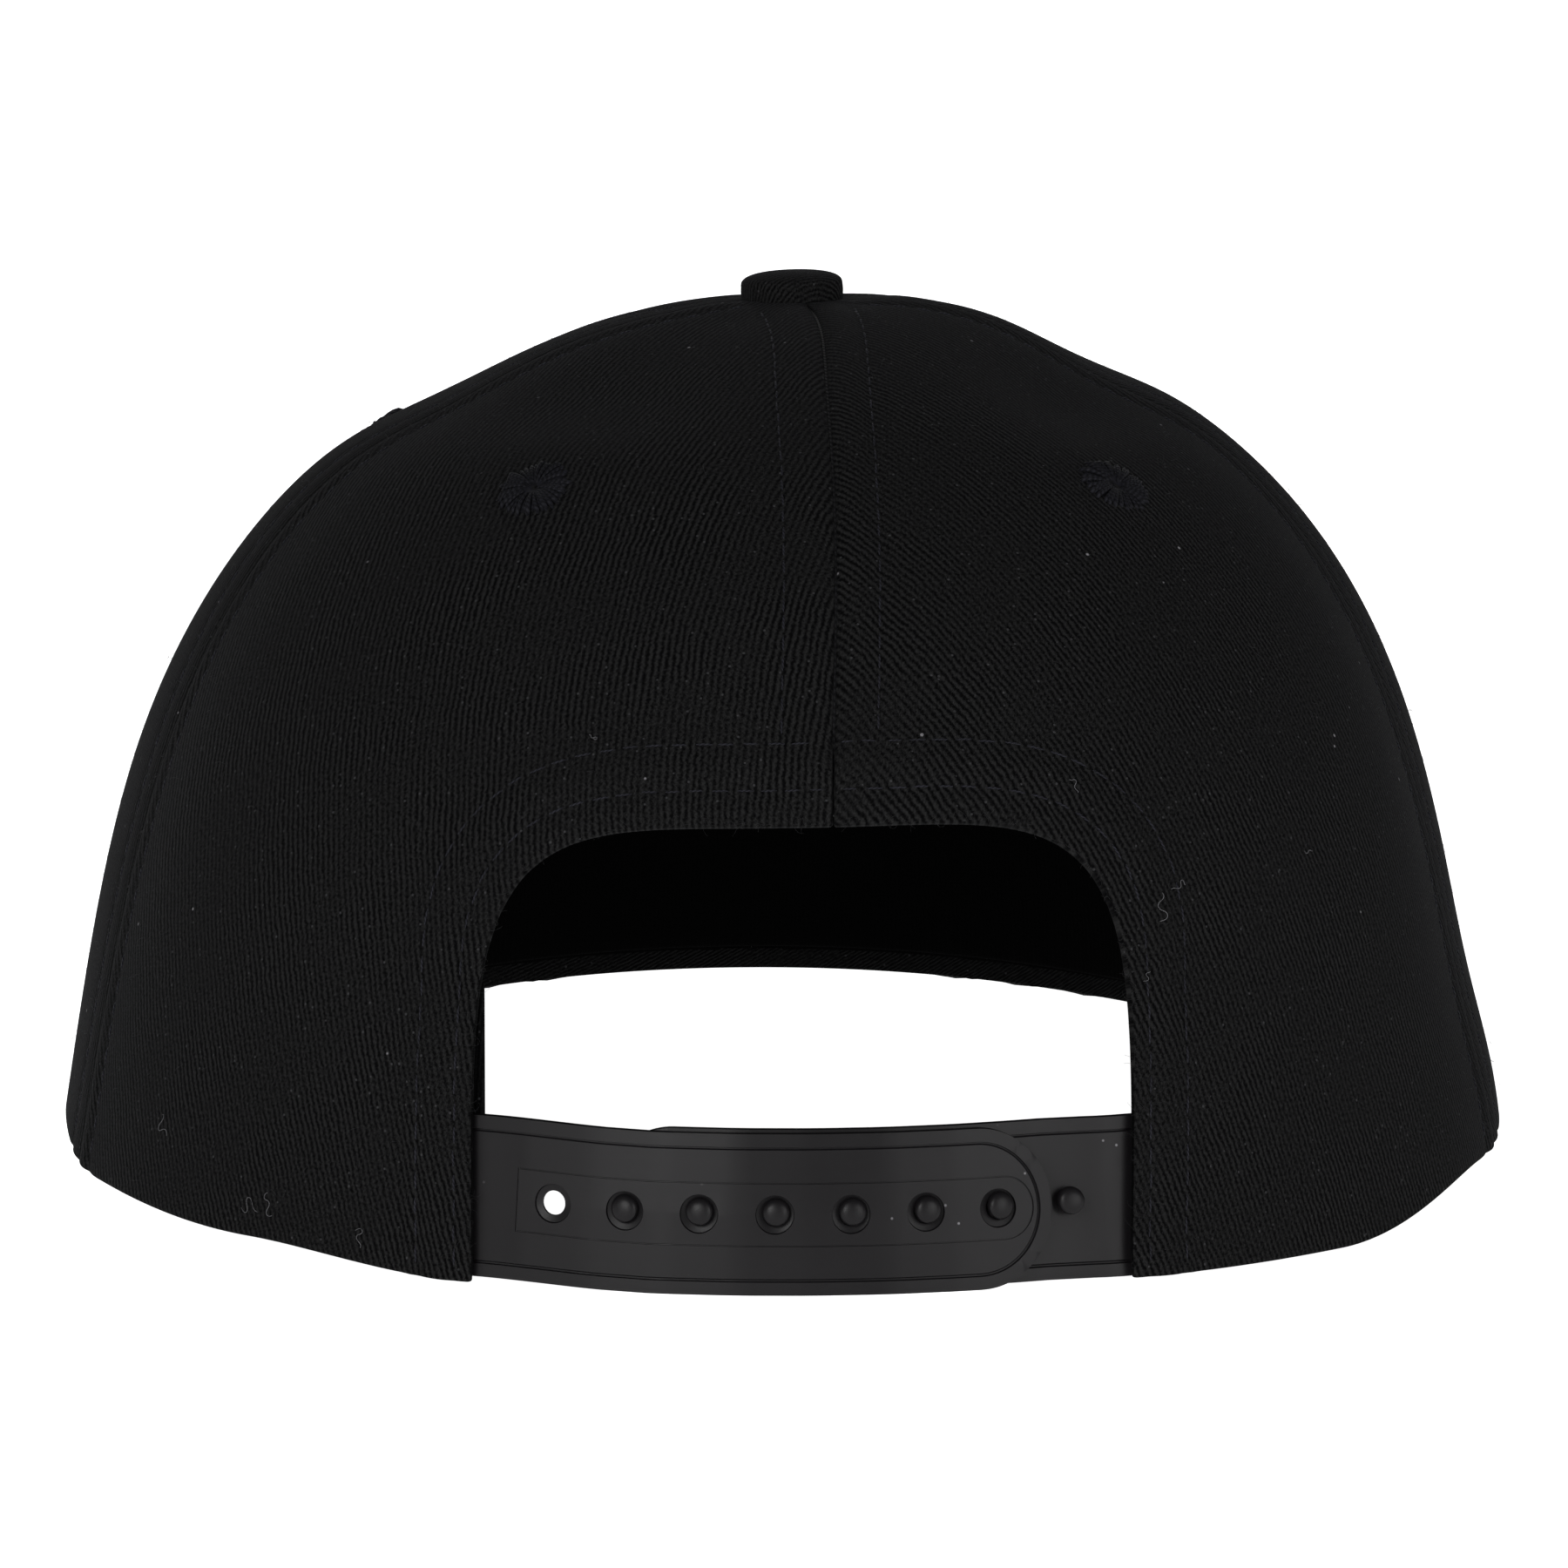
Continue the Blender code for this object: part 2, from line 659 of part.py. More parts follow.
def make_peg_strap(surface):
    middle = STRAP_HEIGHT / 2.0
    top = -(STRAP_GAP + STRAP_THICKNESS + HEAD_RISE)
    seat = -(STRAP_GAP + STRAP_THICKNESS - RECESS_DEPTH + STRAP_GAP)
    profile = (
        (0.0, STRAP_THICKNESS / 2.0),
        (NECK_RADIUS, STRAP_THICKNESS / 2.0),
        (NECK_RADIUS, seat),
        (HEAD_RADIUS, seat),
        (HEAD_RADIUS, seat + (top - seat) * 0.35),
        (HEAD_RADIUS * 0.78, seat + (top - seat) * 0.78),
        (0.0, top),
    )
    runs = [run - HOLE_PITCH for run in hole_runs()]
    pegs = [along_depth(profile, run, middle, 12) for run in runs]
    plate = strap_plate(-STRAP_TUCK, STRAP_END_LEFT, PEG_STRAP_LIFT)
    return shaped_strap("snap_strap_pegs", plate, pegs, "UNION", peg_strap_depth, surface)


def centre_all(things):
    """Put the origin under the middle of the whole cap's box."""
    points = [v.co for thing in things for v in thing.data.vertices]
    low = Vector([min(p[k] for p in points) for k in range(3)])
    high = Vector([max(p[k] for p in points) for k in range(3)])
    shift = Matrix.Translation((-(low.x + high.x) / 2.0, -(low.y + high.y) / 2.0, -low.z))
    for thing in things:
        thing.data.transform(shift)


def build():
    fresh_file()
    twill = material("cloth_black", (0.010, 0.010, 0.011), 0.92)
    visor = material("brim_cloth_black", (0.010, 0.010, 0.011), 0.92)
    lining = material("sweatband_black", (0.008, 0.008, 0.009), 0.95)
    thread = material("thread_black", (0.011, 0.011, 0.013), 0.80)
    cover = material("button_cloth_black", (0.010, 0.010, 0.011), 0.90)
    plastic = material("strap_plastic_black", (0.028, 0.028, 0.030), 0.55)
    heights = rows_up(PANEL_ROWS)
    made = []
    for number, row in enumerate(PANELS):
        panel = make_panel(number, heights, twill)
        cut(panel, eyelet_hole_tool(row))
        if "back" in row["name"]:
            cut(panel, opening_tool())
        made.append(panel)
        made.append(make_eyelet(row, thread))
    made.append(make_button(cover))
    made.append(make_brim(visor))
    made.append(make_band(lining))
    made.append(make_hole_strap(plastic))
    made.append(make_peg_strap(plastic))
    centre_all(made)


build()
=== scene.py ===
import math

import bmesh
import bpy
import numpy as np
from mathutils import Matrix, Vector


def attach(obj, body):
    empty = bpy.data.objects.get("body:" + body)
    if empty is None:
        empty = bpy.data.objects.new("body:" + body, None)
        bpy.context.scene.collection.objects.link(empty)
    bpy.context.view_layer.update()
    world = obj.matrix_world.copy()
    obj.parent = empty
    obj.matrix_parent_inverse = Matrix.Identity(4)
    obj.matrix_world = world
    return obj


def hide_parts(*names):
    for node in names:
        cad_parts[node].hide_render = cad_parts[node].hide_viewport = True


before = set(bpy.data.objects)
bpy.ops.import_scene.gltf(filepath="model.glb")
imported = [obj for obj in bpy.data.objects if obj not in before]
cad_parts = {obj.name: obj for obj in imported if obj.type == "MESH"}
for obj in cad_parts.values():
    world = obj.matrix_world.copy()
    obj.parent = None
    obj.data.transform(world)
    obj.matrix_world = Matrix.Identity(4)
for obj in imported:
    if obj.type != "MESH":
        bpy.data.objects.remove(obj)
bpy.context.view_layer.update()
bpy.ops.object.select_all(action="DESELECT")


# The table and the light. The cap stands on a plain pale table under a broad even light, and is
# seen from behind, a little above the strap, from far enough off that its sides stay parallel.

class Wire:
    """A value in a material, written with + - * / like a number."""

    def __init__(self, finish, socket):
        self.finish = finish
        self.socket = socket

    def sum(self, operation, *values):
        return self.finish.node("ShaderNodeMath", {"operation": operation}, dict(enumerate(values)))

    def __add__(self, other):
        return self.sum("ADD", self, other)

    def __sub__(self, other):
        return self.sum("SUBTRACT", self, other)

    def __rsub__(self, other):
        return self.sum("SUBTRACT", other, self)

    def __mul__(self, other):
        return self.sum("MULTIPLY", self, other)

    def __truediv__(self, other):
        return self.sum("DIVIDE", self, other)

    __radd__ = __add__
    __rmul__ = __mul__

    def wave(self):
        """A smooth wave from 0 to 1, one a unit, highest at whole numbers."""
        return self.sum("COSINE", self * (2.0 * math.pi)) * 0.5 + 0.5

    def floor(self):
        return self.sum("FLOOR", self)

    def clip(self):
        return self.finish.node("ShaderNodeClamp", {}, {0: self})

    def between(self, low, high):
        """0 at low and below, 1 at high and above, smooth between."""
        return self.finish.node(
            "ShaderNodeMapRange", {"interpolation_type": "SMOOTHSTEP"}, {0: self, 1: low, 2: high}
        )


class Finish:
    """A material, or the air round the table, while its nodes are joined up."""

    def __init__(self, name, air=None):
        self.material = air or bpy.data.materials.new(name)
        self.material.use_nodes = True
        self.tree = self.material.node_tree
        self.tree.nodes.clear()

    def node(self, kind, settings, sockets, out=0):
        made = self.tree.nodes.new(kind)
        for key, value in settings.items():
            if key == "stops":
                for stop, (at, colour) in zip(made.color_ramp.elements, value):
                    stop.position = at
                    stop.color = colour
            else:
                setattr(made, key, value)
        for key, value in sockets.items():
            if isinstance(value, Wire):
                self.tree.links.new(value.socket, made.inputs[key])
            else:
                made.inputs[key].default_value = value
        return Wire(self, made.outputs[out]) if len(made.outputs) else None

    def place(self, name=None):
        """Coordinates in metres: on the piece's own flat pattern, or in space."""
        if name:
            return self.node("ShaderNodeUVMap", {"uv_map": name}, {})
        return self.node("ShaderNodeTexCoord", {}, {}, "Object")

    def apart(self, place):
        made = self.node("ShaderNodeSeparateXYZ", {}, {0: place})
        return [Wire(self, made.socket.node.outputs[i]) for i in range(3)]

    def noise(self, place, per_metre, detail=2.0, rough=0.5):
        return self.node(
            "ShaderNodeTexNoise", {},
            {"Vector": place, "Scale": per_metre, "Detail": detail, "Roughness": rough},
        )

    def specks(self, place, per_metre, size, share):
        """Tiny bright grains, in a share of the cells only."""
        settings = {"voronoi_dimensions": "3D", "feature": "F1"}
        near = self.node("ShaderNodeTexVoronoi", settings, {"Vector": place, "Scale": per_metre})
        colour = Wire(self, near.socket.node.outputs["Color"])
        chance = self.node("ShaderNodeSeparateColor", {}, {0: colour})
        grain = 1.0 - near.between(size * 0.5, size)
        return grain * chance.between(1.0 - share, 1.0 - share * 0.5)

    def mix(self, share, first, second):
        """Two colours mixed; a plain one is given as red, green and blue."""
        first, second = ((*c, 1.0) if isinstance(c, tuple) else c for c in (first, second))
        return self.node("ShaderNodeMix", {"data_type": "RGBA"}, {0: share, 6: first, 7: second}, 2)

    def bump(self, height, metres, strength=1.0):
        return self.node(
            "ShaderNodeBump", {}, {"Strength": strength, "Distance": metres, "Height": height}
        )

    def surface(self, **sockets):
        """The shader itself, joined to the output. A name's underscores stand for spaces."""
        named = {key.replace("_", " "): value for key, value in sockets.items()}
        shader = self.node("ShaderNodeBsdfPrincipled", {}, named)
        self.node("ShaderNodeOutputMaterial", {}, {"Surface": shader})
        return self.material


def painted_table():
    made = Finish("table_paint")
    space = made.place()
    clouds = made.noise(space, 3.0, 2.0)
    grain = made.noise(space, 900.0, 3.0)
    return made.surface(
        Base_Color=made.mix(clouds, (0.90, 0.90, 0.90), (0.93, 0.93, 0.93)),
        Roughness=grain * 0.1 + 0.6,
        Normal=made.bump(grain, 0.00002, 0.3),
        Specular_IOR_Level=0.2,
        Emission_Color=(1.0, 1.0, 1.0, 1.0),
        Emission_Strength=1.0,
    )


MIDDLE = np.array((0.00062738, 0.03422432, 0.0))

bpy.ops.mesh.primitive_plane_add(size=14.0, location=(0.0, 0.0, 0.0))
table = bpy.context.object
table.name = "table"
table.data.materials.append(painted_table())

sky = bpy.data.worlds.new("studio")
bpy.context.scene.world = sky
air = Finish("air", sky)
up = air.apart(air.node("ShaderNodeTexCoord", {}, {}, "Generated"))[2]
glow = 1.0 - up.between(0.10, 0.30) * 0.88
glow = air.node("ShaderNodeBackground", {}, {"Color": (1.0, 1.0, 1.0, 1.0), "Strength": glow})
air.node("ShaderNodeOutputWorld", {}, {"Surface": glow})
bpy.context.scene.view_settings.view_transform = "Standard"

LAMPS = (
    dict(name="broad_light", at=(0.95, 1.90, 0.85), aim=(0.0, 0.03, 0.05), size=0.9, watts=31.0),
    dict(name="fill_light", at=(-1.25, 1.55, 0.60), aim=(0.0, 0.03, 0.05), size=1.1, watts=16.0),
    dict(name="front_light", at=(0.2, -1.6, 1.3), aim=(0.0, 0.0, 0.05), size=1.2, watts=5.0),
)
for row in LAMPS:
    bpy.ops.object.light_add(type="AREA", location=row["at"])
    lamp = bpy.context.object
    lamp.name = row["name"]
    lamp.data.shape = "DISK"
    lamp.data.size = row["size"]
    lamp.data.energy = row["watts"]
    toward = Vector(row["aim"]) - Vector(row["at"])
    lamp.rotation_euler = toward.to_track_quat("-Z", "Y").to_euler()

VIEW_RISE = math.radians(7.461)
VIEW_TURN = math.radians(2.116)
VIEW_AIM, VIEW_AWAY = Vector((-0.00039, 0.03422, 0.04874)), 1.3
PICTURE, FOCAL = 1800.0, 11726.0
back_to_eye = Vector((
    math.sin(VIEW_TURN) * math.cos(VIEW_RISE),
    math.cos(VIEW_TURN) * math.cos(VIEW_RISE),
    math.sin(VIEW_RISE),
))
bpy.ops.object.camera_add(location=VIEW_AIM + back_to_eye * VIEW_AWAY)
camera = bpy.context.object
camera.rotation_euler = back_to_eye.to_track_quat("Z", "Y").to_euler()
camera.data.sensor_width = 36.0
camera.data.sensor_fit = "HORIZONTAL"
camera.data.lens = 36.0 * FOCAL / PICTURE
bpy.context.scene.camera = camera


# The crown: six panels of black cotton twill, each cut as a tall leaf, sewn edge to edge, the
# allowances opened flat inside and top-stitched down. The back two are cut away over the strap,
# and that arched edge is turned under and stitched in two rows.

HALF_WIDTH, HALF_LENGTH, CROWN_HEIGHT = 0.0905, 0.0940, 0.1098
CLOTH_THICKNESS, CLOTH_EDGE, BRIM_EDGE = 0.0014, 0.00045, 0.0009
TOP_FORWARD, TOP_SIDEWAYS = 0.0125, -0.0029
PANELS = (
    dict(name="panel_back_left", foot=-2.5, turn=0.0, eyelet_at=35.9, grain=24.0),
    dict(name="panel_side_left", foot=74.0, turn=9.0, eyelet_at=115.0, grain=17.5),
    dict(name="panel_front_left", foot=126.0, turn=2.0, eyelet_at=154.0, grain=17.5),
    dict(name="panel_front_right", foot=180.0, turn=0.0, eyelet_at=206.0, grain=17.5),
    dict(name="panel_side_right", foot=234.0, turn=-2.0, eyelet_at=249.0, grain=17.5),
    dict(name="panel_back_right", foot=286.0, turn=-9.0, eyelet_at=316.5, grain=18.0),
)
DENTS = (
    (38.0, 0.93, 26.0, 0.060, -0.0022),
    (34.0, 0.84, 20.0, 0.035, 0.0009),
    (-56.0, 0.90, 20.0, 0.050, -0.0022),
    (-84.0, 0.980, 50.0, 0.030, 0.0010),
    (94.0, 0.90, 34.0, 0.070, -0.0022),
    (-94.0, 0.92, 26.0, 0.040, -0.0012),
    (-84.0, 0.03, 26.0, 0.120, 0.0014),
    (116.0, 0.62, 16.0, 0.160, -0.0014),
    (-118.0, 0.70, 14.0, 0.140, -0.0012),
    (172.0, 0.90, 30.0, 0.060, -0.0012),
)
HEM_ANGLES = (0.0, 25.0, 45.0, 68.0, 90.0)
HEM_LEFT = (0.0004, 0.0004, 0.0030, 0.0045, 0.0084)
HEM_RIGHT = (0.0004, 0.0004, 0.0007, 0.0058, 0.0084)
BRIM_CORNER, BRIM_HALF, BRIM_LENGTH, BRIM_THICKNESS = 114.0, 0.0890, 0.070, 0.0028
INSIDE = (0.0, 0.03, 0.04)
SEAM_GAP, SEAM_ROW, MIDDLE_ROW = 0.00002, 0.0055, 0.0066
ARCH_HALF, ARCH_TOP, ARCH_FOOT_CORNER = 0.0396, 0.0539, 0.0024
ARCH_ROUNDNESS = {1.0: 4.8, -1.0: 5.2}
ARCH_ROWS = (dict(beside=0.0021, above=0.0045), dict(beside=0.0070, above=0.0104))


def ease(share):
    share = np.clip(share, 0.0, 1.0)
    return share * share * (3.0 - 2.0 * share)


def hump(away, wide):
    return np.exp(-(away / wide) ** 2)


def spread(turn, roundness):
    s, c = np.abs(np.sin(turn)), np.abs(np.cos(turn))
    return (s ** roundness + c ** roundness) ** (-1.0 / roundness)


def hem_plan(angle):
    turn = np.radians(angle)
    reach = spread(turn, 2.25)
    return HALF_WIDTH * reach * np.sin(turn), HALF_LENGTH * reach * np.cos(turn)


def brim_edge(share):
    """The brim's outer edge, share 0 to 1 from the left corner to the right."""
    s, c = np.sin(np.pi * share), np.cos(np.pi * share)
    back = hem_plan(BRIM_CORNER)[1]
    x = BRIM_HALF * np.sign(c) * np.abs(c) ** (2.0 / 2.3)
    return x, back - (HALF_LENGTH + BRIM_LENGTH + back) * np.abs(s) ** (2.0 / 2.3)


def brim_drop(x, y):
    return -math.tan(math.radians(4.5)) * (y + HALF_LENGTH) + x * x / 0.640


RIM_HEIGHT = BRIM_THICKNESS + float(np.max(brim_drop(*brim_edge(np.linspace(0.0, 1.0, 81)))))


def hem_height(angle):
    angle = (np.asarray(angle, float) + 180.0) % 360.0 - 180.0
    x, y = hem_plan(angle)
    out = RIM_HEIGHT - brim_drop(x, y) + 0.0004
    corner = float(RIM_HEIGHT - brim_drop(*hem_plan(BRIM_CORNER)) + 0.0004)
    for heights, side in ((HEM_LEFT, angle >= 0.0), (HEM_RIGHT, angle < 0.0)):
        angles, heights = HEM_ANGLES + (BRIM_CORNER,), heights + (corner,)
        for a, b, low, high in zip(angles, angles[1:], heights, heights[1:]):
            here = side & (np.abs(angle) >= a) & (np.abs(angle) <= b)
            out = np.where(here, low + (high - low) * ease((np.abs(angle) - a) / (b - a)), out)
    return out


def shell(angle, height):
    """The smooth crown, from the angle round it and the share of the way up."""
    angle, height = np.broadcast_arrays(np.asarray(angle, float), np.asarray(height, float))
    turn = np.radians(angle)
    s, c = np.sin(turn), np.cos(turn)
    back, front, side = np.maximum(c, 0.0) ** 2, np.maximum(-c, 0.0) ** 2, s * s
    up = np.clip(height, 0.0, 1.0)
    reach = 1.0 - (0.20 * back + 0.12 * front + 0.23 * side) * height
    reach = reach * np.sqrt(np.maximum(1.0 - up ** (3.4 * back + 4.6 * front + 4.3 * side), 0.0))
    reach = reach * spread(turn, 2.25 - 0.25 * up)
    foot = hem_height(angle)
    return np.stack((
        HALF_WIDTH * reach * s + TOP_SIDEWAYS * up * up,
        HALF_LENGTH * reach * c - TOP_FORWARD * up * up,
        foot + (CROWN_HEIGHT - foot) * height,
    ), -1)


def facing(angle, height):
    """Which way the smooth crown looks, level at the hem."""
    height = np.minimum(np.asarray(height, float), 0.995)
    across = shell(angle + 0.5, height) - shell(angle - 0.5, height)
    upward = shell(angle, height + 0.002) - shell(angle, height - 0.002)
    out = np.cross(across, upward)
    inward = (out * (shell(angle, height) - (0.0, 0.0, CROWN_HEIGHT / 3.0))).sum(-1) < 0.0
    out = np.where(inward[..., None], -out, out)
    out /= np.linalg.norm(out, axis=-1, keepdims=True)
    out[..., 2] *= ease(height / 0.10)
    return out / np.linalg.norm(out, axis=-1, keepdims=True)


def swell(height):
    return 0.0022 * np.sin(np.pi * np.clip(height, 0.0, 1.0))


def seam_angle(number, height):
    row = PANELS[number % 6]
    seam = row["foot"] + row["turn"] * height + 360.0 * (number // 6)
    if number % 6 == 0:
        seam = seam - 1.6 * ease((height - 0.50) / 0.45) - 7.0 * np.maximum(height, 0.0) ** 30
    return seam


def lift(number, angle, height):
    """Bulge, folds and flats over the smooth crown."""
    folds = 0.0
    for at, high, wide, tall, depth in DENTS:
        across = ((angle - at + 180.0) % 360.0 - 180.0) / wide
        folds = folds + depth * np.exp(-across ** 2 - ((height - high) / tall) ** 2)
    first, last = seam_angle(number, height), seam_angle(number + 1, height)
    share = np.clip((angle - first) / (last - first), 0.0, 1.0)
    return swell(height) * np.sin(np.pi * share) + folds * ease((1.0 - height) / 0.012)


def radius_at(angle, height):
    """Level distance from the crown's own middle line."""
    up = np.clip(height, 0.0, 1.0)
    spot = shell(angle, height)
    return np.hypot(spot[..., 0] - TOP_SIDEWAYS * up * up, spot[..., 1] + TOP_FORWARD * up * up)


def smooth_cloth(number, angle, height, depth=0.0):
    out = lift(number, angle, height) - depth
    return shell(angle, height) + facing(angle, height) * out[..., None]


def on_back(number, x, z):
    """The angle and height at which a back panel's face has this x and z."""
    angle = np.degrees(np.arctan2(x, HALF_LENGTH)) + 0.0 * z
    height = z / CROWN_HEIGHT
    for _ in range(14):
        here = smooth_cloth(number, angle, height)
        by_angle = (smooth_cloth(number, angle + 0.05, height) - here) / 0.05
        by_height = (smooth_cloth(number, angle, height + 0.0005) - here) / 0.0005
        dx, dz = x - here[..., 0], z - here[..., 2]
        size = by_angle[..., 0] * by_height[..., 2] - by_angle[..., 2] * by_height[..., 0]
        angle = angle + (dx * by_height[..., 2] - dz * by_height[..., 0]) / size
        height = height + (dz * by_angle[..., 0] - dx * by_angle[..., 2]) / size
    return angle, height


def run_along(line):
    """How far along a line each of its points lies."""
    return np.concatenate(([0.0], np.cumsum(np.linalg.norm(np.diff(line, axis=0), axis=1))))


def nearest(spots, edge):
    """Distance from each point to the closest of an edge's points, and which one that is."""
    flat = spots.reshape(-1, spots.shape[-1])
    near, which = np.empty(len(flat)), np.empty(len(flat), int)
    for k in range(0, len(flat), 2000):
        away = ((flat[k:k + 2000, None, :] - edge[None]) ** 2).sum(-1)
        near[k:k + 2000], which[k:k + 2000] = np.sqrt(away.min(1)), away.argmin(1)
    return near.reshape(spots.shape[:-1]), which.reshape(spots.shape[:-1])


def arch_line(side, count=400):
    """The opening's edge on one back panel, from its foot to the middle seam, evenly spaced."""
    power = 2.0 / ARCH_ROUNDNESS[side]
    turn = np.linspace(0.0, math.radians(100.0), 3000)
    x = side * ARCH_HALF * np.sign(np.cos(turn)) * np.abs(np.cos(turn)) ** power
    z = ARCH_TOP * np.sin(turn) ** power
    corner = np.clip(1.0 - z / ARCH_FOOT_CORNER, 0.0, 1.0)
    drawn_in = (1.0 - np.sqrt(1.0 - corner ** 2)) * (np.cos(turn) > 0.5)
    x = x + side * ARCH_FOOT_CORNER * drawn_in
    number = 0 if side > 0.0 else 5
    angle, height = on_back(number, x, np.maximum(z, 0.0))
    seam = PANELS[0]["foot"]
    keep = (angle - seam) * side > 0.0
    keep &= height >= 0.0
    angle, height = angle[keep], height[keep]
    height[0], angle[-1] = 0.0, seam
    spots = smooth_cloth(number, angle, height)
    run = run_along(spots)
    even = np.linspace(0.0, run[-1], count)
    return np.interp(even, run, angle), np.interp(even, run, height)


ARCH = {0: arch_line(1.0), 5: arch_line(-1.0)}
FULL_TURN = {0: 0.0, 5: 360.0}
ARCH_SPOTS = np.concatenate([smooth_cloth(n, *ARCH[n]) for n in (0, 5)])


def from_arch(spots):
    """Distance of each point from the opening's edge, and how high that edge is there."""
    edge = ARCH_SPOTS[::3]
    near, which = nearest(spots, edge)
    return near, edge[which, 2]


def arch_row(row, edge_height):
    """How far a row of stitches lies from the edge: further above the opening than beside it."""
    return row["beside"] + (row["above"] - row["beside"]) * ease((edge_height - 0.030) / 0.022)


def relief(number, angle, height):
    """What sewing does to the face: the seam's groove, the pillow beside it, the rows' dips."""
    radius = radius_at(angle, height)
    first = np.abs(angle - seam_angle(number, height))
    last = np.abs(seam_angle(number + 1, height) - angle)
    away = np.radians(np.minimum(first, last)) * radius
    beside = np.where((first < last) & (number == 0), MIDDLE_ROW, SEAM_ROW)
    sharp = 1.0 if number in (0, 5) else 0.4
    out = -0.00030 * sharp * hump(away, 0.0006) + 0.00034 * sharp * hump(away - 0.0027, 0.0019)
    out = out - 0.00018 * hump(away - beside, 0.0009)
    out = out * ease((radius - 0.004) / 0.010)
    if number in (0, 5):
        arch, edge_height = from_arch(smooth_cloth(number, angle, height))
        inner, outer = (arch_row(row, edge_height) for row in ARCH_ROWS)
        out = out * ease((arch - 0.001) / 0.010)
        out = out + 0.00030 * (1.0 - ease((arch - outer - 0.0006) / 0.0016))
        out = out - 0.00028 * hump(arch, 0.0012)
        out = out - 0.00022 * (hump(arch - inner, 0.0008) + hump(arch - outer, 0.0008))
        out = out + 0.00016 * hump(arch - (inner + outer) / 2.0, 0.0020)
    return out


def skin(number, angle, height, proud=0.0):
    """A point on the sewn face of a panel, in the cap's own place."""
    out = lift(number, angle, height) + relief(number, angle, height) + proud
    return shell(angle, height) + facing(angle, height) * out[..., None] + MIDDLE


def marks_up():
    """Height shares and their arc length from the hem, along the cap's side."""
    marks = 1.0 - (1.0 - np.linspace(0.0, 1.0, 1201)) ** 2
    spots = shell(90.0, marks)
    run = run_along(spots)
    tip = int(np.argmax(radius_at(90.0, marks) < 0.0026))
    return marks[:tip + 1], run[:tip + 1]


MARKS, RUNS = marks_up()
TIP_RUN = RUNS[-1]


def crowded(length, start, finish, fine, coarse, reach=0.011):
    """Shares from 0 to 1 along a length, close together near the ends that are asked for."""
    spots = np.linspace(0.0, length, 4000)
    step = np.full(4000, coarse)
    if start:
        step = np.minimum(step, fine + (coarse - fine) * ease((spots - reach) / reach))
    if finish:
        step = np.minimum(step, fine + (coarse - fine) * ease((length - spots - reach) / reach))
    count = np.concatenate(([0.0], np.cumsum(np.diff(spots) / step[1:])))
    total = int(round(count[-1]))
    return np.interp(np.linspace(0.0, count[-1], total + 1), count, spots) / length


def panel_ends(number, height):
    """The panel's two edges at a height, a hair short of the seams."""
    ends = []
    for turned, sign in ((number, 1.0), (number + 1, -1.0)):
        seam = seam_angle(turned, height)
        ends.append(seam + sign * np.degrees(SEAM_GAP / radius_at(seam, height)))
    return ends


def leaf(number):
    """Angles and heights of a plain panel's grid."""
    across = crowded(0.085, True, True, 0.0006, 0.0019, 0.0065)
    upward = crowded(TIP_RUN, False, False, 0.0012, 0.0015)
    height = np.interp(upward * TIP_RUN, RUNS, MARKS)[:, None]
    first, last = panel_ends(number, height)
    return first + (last - first) * across[None, :], height + 0.0 * across[None, :]


def leaf_over_arch(number):
    """The same for a back panel, whose lines run round the opening and up the side seam."""
    side = 1 if number == 0 else -1
    inner_end = 0 if side > 0 else 1
    away = crowded(0.072, True, True, 0.0006, 0.0012, 0.0105)
    along = crowded(0.115, False, True, 0.0005, 0.0010, 0.0065)

    def flat(angle, height):
        r = TIP_RUN + 0.004 - np.interp(height, MARKS, RUNS)
        return np.stack((r * np.sin(np.radians(angle)), r * np.cos(np.radians(angle))), -1)

    arch_angle, arch_height = ARCH[number]
    arch_angle = arch_angle + FULL_TURN[number]
    run = np.linspace(0.0, 1.0, len(arch_angle))
    top_height = arch_height[-1]
    top_angle = panel_ends(number, top_height)[inner_end]
    arch_angle = arch_angle + (top_angle - arch_angle[-1]) * ease((run - 0.9) / 0.1)
    inner = flat(np.interp(along, run, arch_angle), np.interp(along, run, arch_height))
    height = np.interp(along * TIP_RUN, RUNS, MARKS)
    outer = flat(panel_ends(number, height)[1 - inner_end], height)
    outer_angle = panel_ends(number, np.array(0.0))[1 - inner_end]
    bottom = flat(arch_angle[0] + (outer_angle - arch_angle[0]) * away, 0.0 * away)
    start = np.interp(top_height, MARKS, RUNS)
    turn_in = 0.97
    up = np.interp(start + (TIP_RUN - start) * np.minimum(away / turn_in, 1.0), RUNS, MARKS)
    middle, side_seam = panel_ends(number, up)[::side]
    over = ease((away - turn_in) / (1.0 - turn_in))
    top = flat(middle + (side_seam - middle) * over, up)
    s, t = away[None, :, None], along[:, None, None]
    grid = (1 - s) * inner[:, None] + s * outer[:, None] + (1 - t) * bottom[None] + t * top[None]
    grid -= (1 - s) * (1 - t) * bottom[0] + s * (1 - t) * bottom[-1]
    grid -= (1 - s) * t * top[0] + s * t * top[-1]
    angle = np.degrees(np.arctan2(grid[..., 0], grid[..., 1]))
    r = np.hypot(grid[..., 0], grid[..., 1])
    height = np.interp(TIP_RUN + 0.004 - r, RUNS, MARKS)
    return angle + FULL_TURN[number], height


